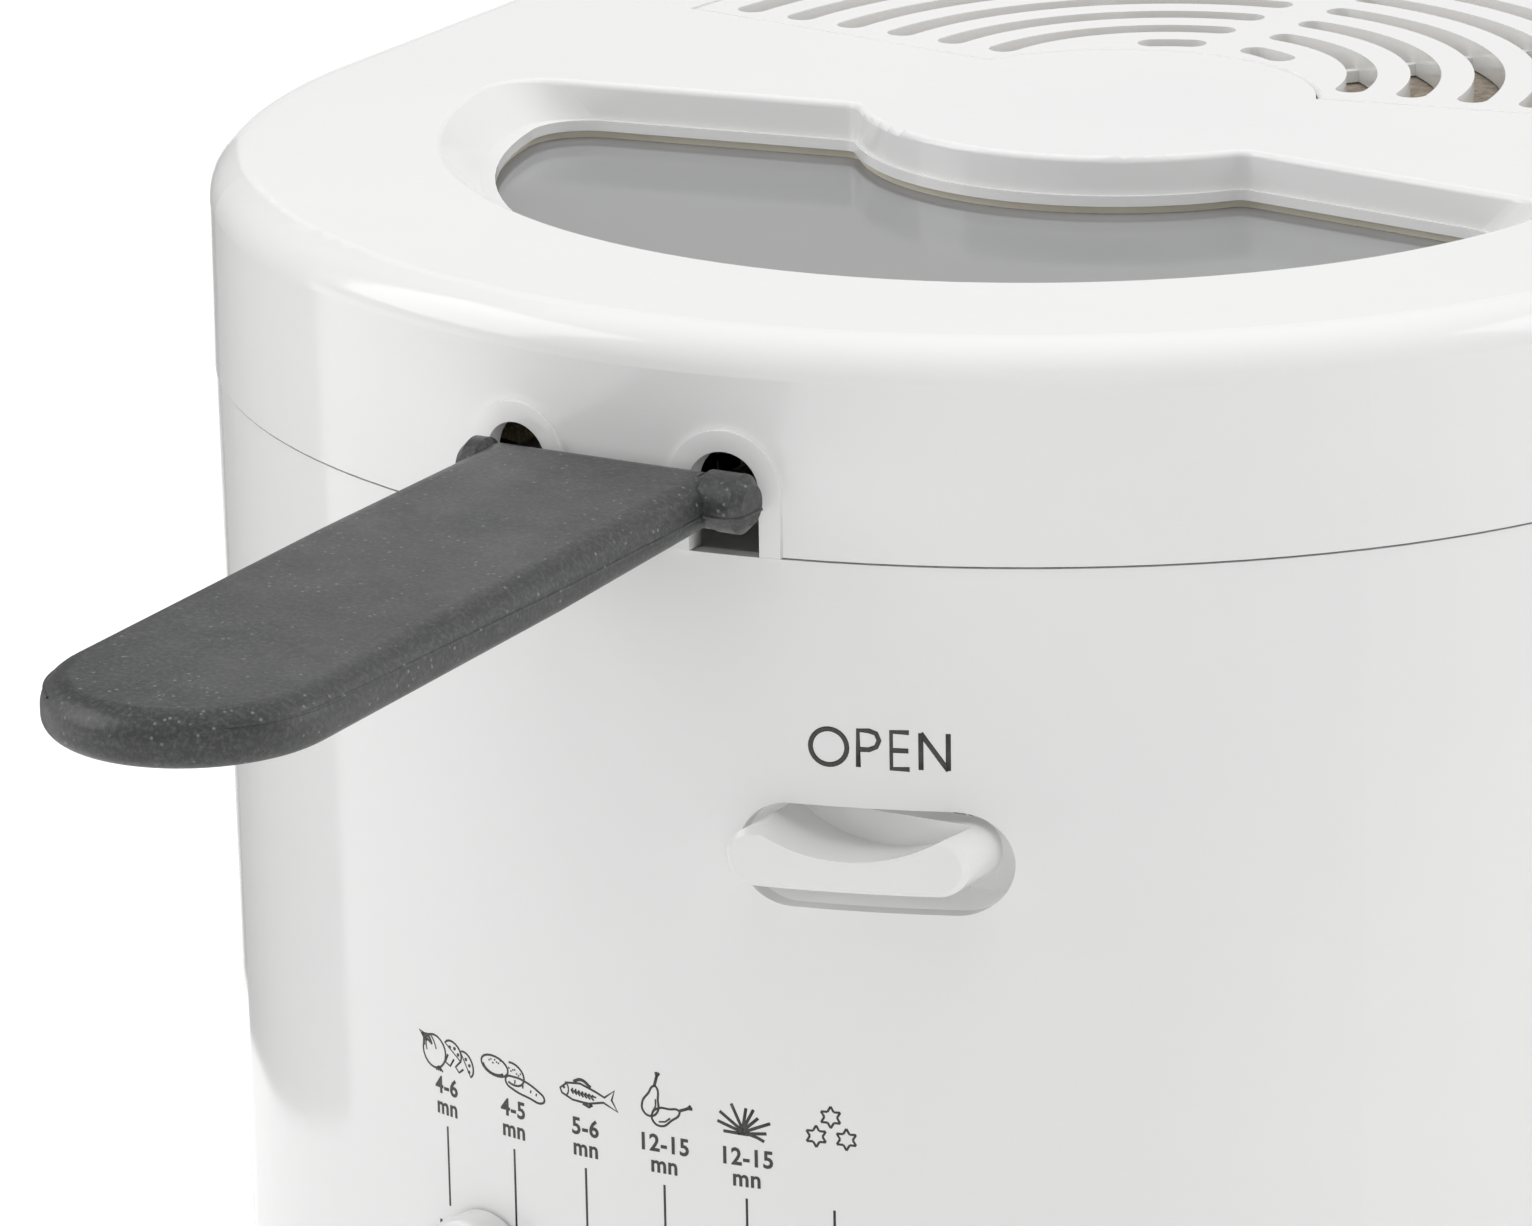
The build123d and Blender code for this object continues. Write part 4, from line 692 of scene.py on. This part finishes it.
def draw_potatoes(ink):
    """Two speckled potatoes and a croquette."""
    ink.stroke(ring(-3.35, 0.6, 2.6, 1.45, -10), PEN, closed=True)
    ink.stroke(ring(-3.35, 0.9, 2.3, 1.6, -8, 200, 320, 10), PEN)
    ink.stroke(ring(0.15, 0.1, 2.2, 1.6, -20, -100, 125, 14), PEN)
    for i in range(7):
        ink.spot(-4.35 + 0.36 * i, 1.3 + 0.3 * math.sin(2.4 * i), 0.14)
        ink.spot(-0.55 + 0.36 * i, 0.9 - 0.3 * math.sin(1.7 * i) - 0.12 * i, 0.14)
    ink.stroke([(-1.15, -0.6), (0.25, -0.3), (2.25, -0.5), (4.75, -1.5), (5.95, -2.6), (5.55, -3.2),
                (3.25, -2.9), (0.05, -2.2), (-1.15, -1.5)], PEN, closed=True, smooth=True)
    for x in (0.55, 2.05, 3.55, 4.55):
        ink.stroke([(x, -0.565 - 0.3 * x), (x - 0.1, -1.1875 - 0.25 * x)], THIN)


def draw_fish(ink):
    """Fish with its head to the left, and scales."""
    ink.stroke([(-4.2, -0.1), (-2.9, 0.9), (-0.6, 1.2), (2.0, 0.4), (3.5, -0.2), (5.2, 1.1),
                (4.7, -0.4), (5.7, -2.0), (3.3, -1.0), (0.8, -1.6), (-2.0, -1.5), (-3.9, -0.8)],
               PEN, closed=True)
    ink.stroke(ring(-3.6, -0.1, 0.9, 1.15, 0, -70, 70, 8), THIN)
    ink.spot(-3.5, 0.1, 0.22)
    ink.stroke([(-1.8, 1.3), (-0.4, 1.8), (1.2, 0.9)], THICK, smooth=True)
    ink.stroke([(-0.2, -1.7), (0.8, -2.1), (1.4, -1.7)], THICK)
    for i in range(7):
        x, y = -1.9 + 0.58 * i, 0.25 - 0.07 * i
        ink.stroke([(x, y), (x - 0.3, y - 0.4), (x + 0.1, y - 0.8)], PEN)
    ink.stroke([(-2.2, -0.15), (2.1, -0.45)], THIN)


def draw_drumsticks(ink):
    """Two drumsticks, each drawn lying level with its bone to the right, and then turned."""
    meat = ((2.3, 0.2), (0.9, 0.75), (-0.8, 1.3), (-2.1, 0.75), (-2.3, -0.5), (-1.2, -1.35),
            (0.5, -0.95), (2.3, -0.2))
    bone = (((2.2, 0.12), (4.2, 0.14)), ((3.9, 0.14), (4.5, 0.42)), ((3.9, 0.14), (4.55, -0.12)))
    bone_pen = 0.46
    shade = ((-1.5, -0.6), (-0.5, -0.85), (0.5, -0.55))
    for place in ((-1.8, 0.7, 74), (0.5, -1.2, 22)):
        ink.stroke(laid(meat, *place), PEN, closed=True, smooth=True)
        for stretch in bone:
            ink.stroke(laid(stretch, *place), bone_pen)
        ink.stroke(laid(shade, *place), THIN)


def draw_sticks(ink):
    """A bunch of potato sticks, fanned out from a flat foot."""
    middle, foot = -0.4, -2.3
    fan = ((8, 3.6), (26, 4.6), (48, 3.5), (66, 4.1), (82, 3.9), (112, 4.6), (140, 4.6), (158, 4.2),
           (176, 3.0))
    for tilt, reach in fan:
        right, up = polar(1, tilt)
        tip = (middle + reach * right, foot - 0.1 + 1.05 * reach * up)
        ink.stroke([(middle - 0.8 * right, foot), tip], THICK)
    ink.stroke([(0.4, -2.2), (1.8, -2.6), (2.8, -3.1)], THICK)


def draw_stars(ink):
    """Three six-pointed frost stars."""
    tips = 6
    far, near = 1.62, 0.92                  # a star's tips and the corners between them
    for x, y in ((-0.35, 1.55), (-2.5, -1.45), (1.9, -1.6)):
        star = []
        for i in range(2 * tips):
            right, up = polar(near if i % 2 else far, 180 * i / tips + 90)
            star.append((x + right, y + up))
        for i in range(2 * tips):
            ink.stroke((star[i - 1], star[i]), PEN)


def timing_chart():
    """Cooking pictograms, times and the temperature scale: plain drawings of common foods."""
    columns = (-34.9, -21.45, -8.4, 4.7, 17.6, 30.65)
    pictures = (draw_onion_and_mushrooms, draw_potatoes, draw_fish, draw_drumsticks, draw_sticks,
                draw_stars)
    minutes = ("4-6", "4-5", "5-6", "12-15", "12-15")
    drops = (0.2, -0.05, -0.2, -0.45, -0.65, -1.1)      # the rows sink a little to the right
    picture_row, minute_row, unit_row, degree_row = -83.0, -89.35, -92.5, -111.4
    line_top, line_foot, line_pen = -94.3, -106.3, 0.37
    ink = Print("timing_chart")
    for x, draw in zip(columns, pictures):
        ink.origin = (x, picture_row)
        draw(ink)
    ink.origin = (0.0, 0.0)
    for x, text, drop in zip(columns, minutes, drops):
        ink.word(text, x + 0.05, minute_row + drop, squeeze=0.95, spacing=1.06)
        ink.word("mn", x + 0.05, unit_row + drop, squeeze=0.95, spacing=1.06)
    for x, drop in zip(columns, drops):
        ink.stroke([(x, line_top + drop), (x, line_foot)], line_pen)
    for x, degree in zip(columns, range(140, 200, 10)):
        ink.word(f"{degree}°", x + 0.2, degree_row, squeeze=0.92)
    ink.finish()


open_word()
timing_chart()


# ---- Camera, light and floor -----------------------------------------------------------------
# The camera was solved from the machine's outlines and openings in the photograph.
CAMERA_AZIMUTH = math.radians(30.141)
CAMERA_RISE = math.radians(16.771)
CAMERA_ROLL = math.radians(-0.820)
CAMERA_PLACE = Vector((0.6337988, AXIS_Y - 1.175067, PARTING + 0.3591742))
LENS, SENSOR = 216.39, 36.0                 # millimetres


def make_camera():
    back = Vector((
        math.sin(CAMERA_AZIMUTH) * math.cos(CAMERA_RISE),
        -math.cos(CAMERA_AZIMUTH) * math.cos(CAMERA_RISE),
        math.sin(CAMERA_RISE),
    ))
    level = Vector((math.cos(CAMERA_AZIMUTH), math.sin(CAMERA_AZIMUTH), 0))
    upward = back.cross(level)
    right = math.cos(CAMERA_ROLL) * level + math.sin(CAMERA_ROLL) * upward
    up = -math.sin(CAMERA_ROLL) * level + math.cos(CAMERA_ROLL) * upward
    data = bpy.data.cameras.new("camera")
    data.sensor_fit = "HORIZONTAL"
    data.sensor_width = SENSOR
    data.lens = LENS
    data.clip_start = 0.05
    camera = bpy.data.objects.new("camera", data)
    camera.matrix_world = Matrix((
        (right.x, up.x, back.x, CAMERA_PLACE.x),
        (right.y, up.y, back.y, CAMERA_PLACE.y),
        (right.z, up.z, back.z, CAMERA_PLACE.z),
        (0, 0, 0, 1),
    ))
    scene.collection.objects.link(camera)
    scene.camera = camera


def soft_box(name, place, target, width, height, power, gloss=True):
    """Area lamp turned to target; without gloss, nothing shiny shows it."""
    data = bpy.data.lights.new(name, "AREA")
    data.shape = "RECTANGLE"
    data.size = width
    data.size_y = height
    data.energy = power
    lamp = bpy.data.objects.new(name, data)
    lamp.location = place
    lamp.rotation_euler = (Vector(target) - Vector(place)).to_track_quat("-Z", "Y").to_euler()
    lamp.visible_glossy = gloss
    scene.collection.objects.link(lamp)


def make_world(ambient, seen):
    """White to the camera and through glass, seen in gloss, and ambient as light."""
    world = bpy.data.worlds.new("studio")
    world.use_nodes = True
    world.node_tree.nodes.clear()
    sky = Nodes(world.node_tree)
    path = sky.add("ShaderNodeLightPath").outputs
    direct = sky.math("MAXIMUM", path["Is Camera Ray"], path["Is Transmission Ray"])
    gloss = sky.math("MULTIPLY", path["Is Glossy Ray"], seen)
    strength = sky.math("MAXIMUM", sky.ramp(direct, 0.0, 1.0, ambient, 1.0), gloss)
    background = sky.add("ShaderNodeBackground", {"Color": (1, 1, 1, 1)})
    sky.link(strength, background.inputs["Strength"])
    output = sky.add("ShaderNodeOutputWorld")
    sky.link(background.outputs[0], output.inputs["Surface"])
    scene.world = world


def make_floor():
    """Pale floor that keeps the shadow, and glows a little to the eye so that it shows white."""
    half = 4.0
    near, far = 0.7, 2.6                    # metres from the middle
    near_glow, far_glow = 0.26, 0.75
    below = 0.4 * MM                        # under the feet, so that the two don't flicker
    mesh = bpy.data.meshes.new("floor")
    builder = bmesh.new()
    bmesh.ops.create_grid(builder, x_segments=8, y_segments=8, size=half)
    builder.to_mesh(mesh)
    builder.free()
    look = Shader("floor_white", (0.86, 0.86, 0.86), 0.7, Emission_Color=(1, 1, 1, 1))
    look.colour(look.mix(look.wander(3, 3), (0.85, 0.85, 0.85), (0.88, 0.88, 0.88)))
    path = look.add("ShaderNodeLightPath").outputs
    seen = look.math("MAXIMUM", path["Is Camera Ray"], path["Is Transmission Ray"])
    seen = look.math("MAXIMUM", seen, path["Is Glossy Ray"])
    away = look.add("ShaderNodeVectorMath", operation="LENGTH")
    look.link(look.space, away.inputs[0])
    glow = look.ramp(away.outputs["Value"], near, far, near_glow, far_glow)
    look.link(look.math("MULTIPLY", seen, glow), look.bsdf.inputs["Emission Strength"])
    mesh.materials.append(look.material)
    floor = bpy.data.objects.new("floor", mesh)
    floor.location = (0, 0, -below)
    scene.collection.objects.link(floor)


def make_flag():
    """Grey card at the left that only gloss sees: it darkens the body's left edge, as in a light tent."""
    front, back = (-0.300, AXIS_Y - 0.116), (-0.280, AXIS_Y + 0.140)
    top = 0.6
    mesh = bpy.data.meshes.new("flag")
    corners = [(*front, 0.0), (*back, 0.0), (*back, top), (*front, top)]
    mesh.from_pydata(corners, [], [(0, 1, 2, 3)])
    look = Shader("flag_grey", (0.02, 0.02, 0.02), 1.0,
                  Emission_Color=(1, 1, 1, 1), Emission_Strength=0.22)
    mesh.materials.append(look.material)
    card = bpy.data.objects.new("flag", mesh)
    for ray in ("camera", "diffuse", "transmission", "volume_scatter", "shadow"):
        setattr(card, "visible_" + ray, False)
    scene.collection.objects.link(card)


WAIST, CROWN = (0, 0, 0.12), (0, 0, 0.2)    # what the lamps point at

make_camera()
make_flag()
make_world(ambient=0.42, seen=0.68)
make_floor()
soft_box("left", (-1.7, -0.9, 1.2), WAIST, width=1.4, height=1.6, power=16.5)
soft_box("right", (1.6, 0.9, 1.0), WAIST, width=1.2, height=1.6, power=11.5)
soft_box("front", (0.9, -1.7, 0.55), WAIST, width=1.0, height=0.9, power=5.2, gloss=False)
soft_box("top", (0.1, 0.3, 2.0), CROWN, width=1.8, height=1.8, power=18, gloss=False)
soft_box("top_front", (0.2, -0.9, 2.0), CROWN, width=1.6, height=1.2, power=4.5, gloss=False)
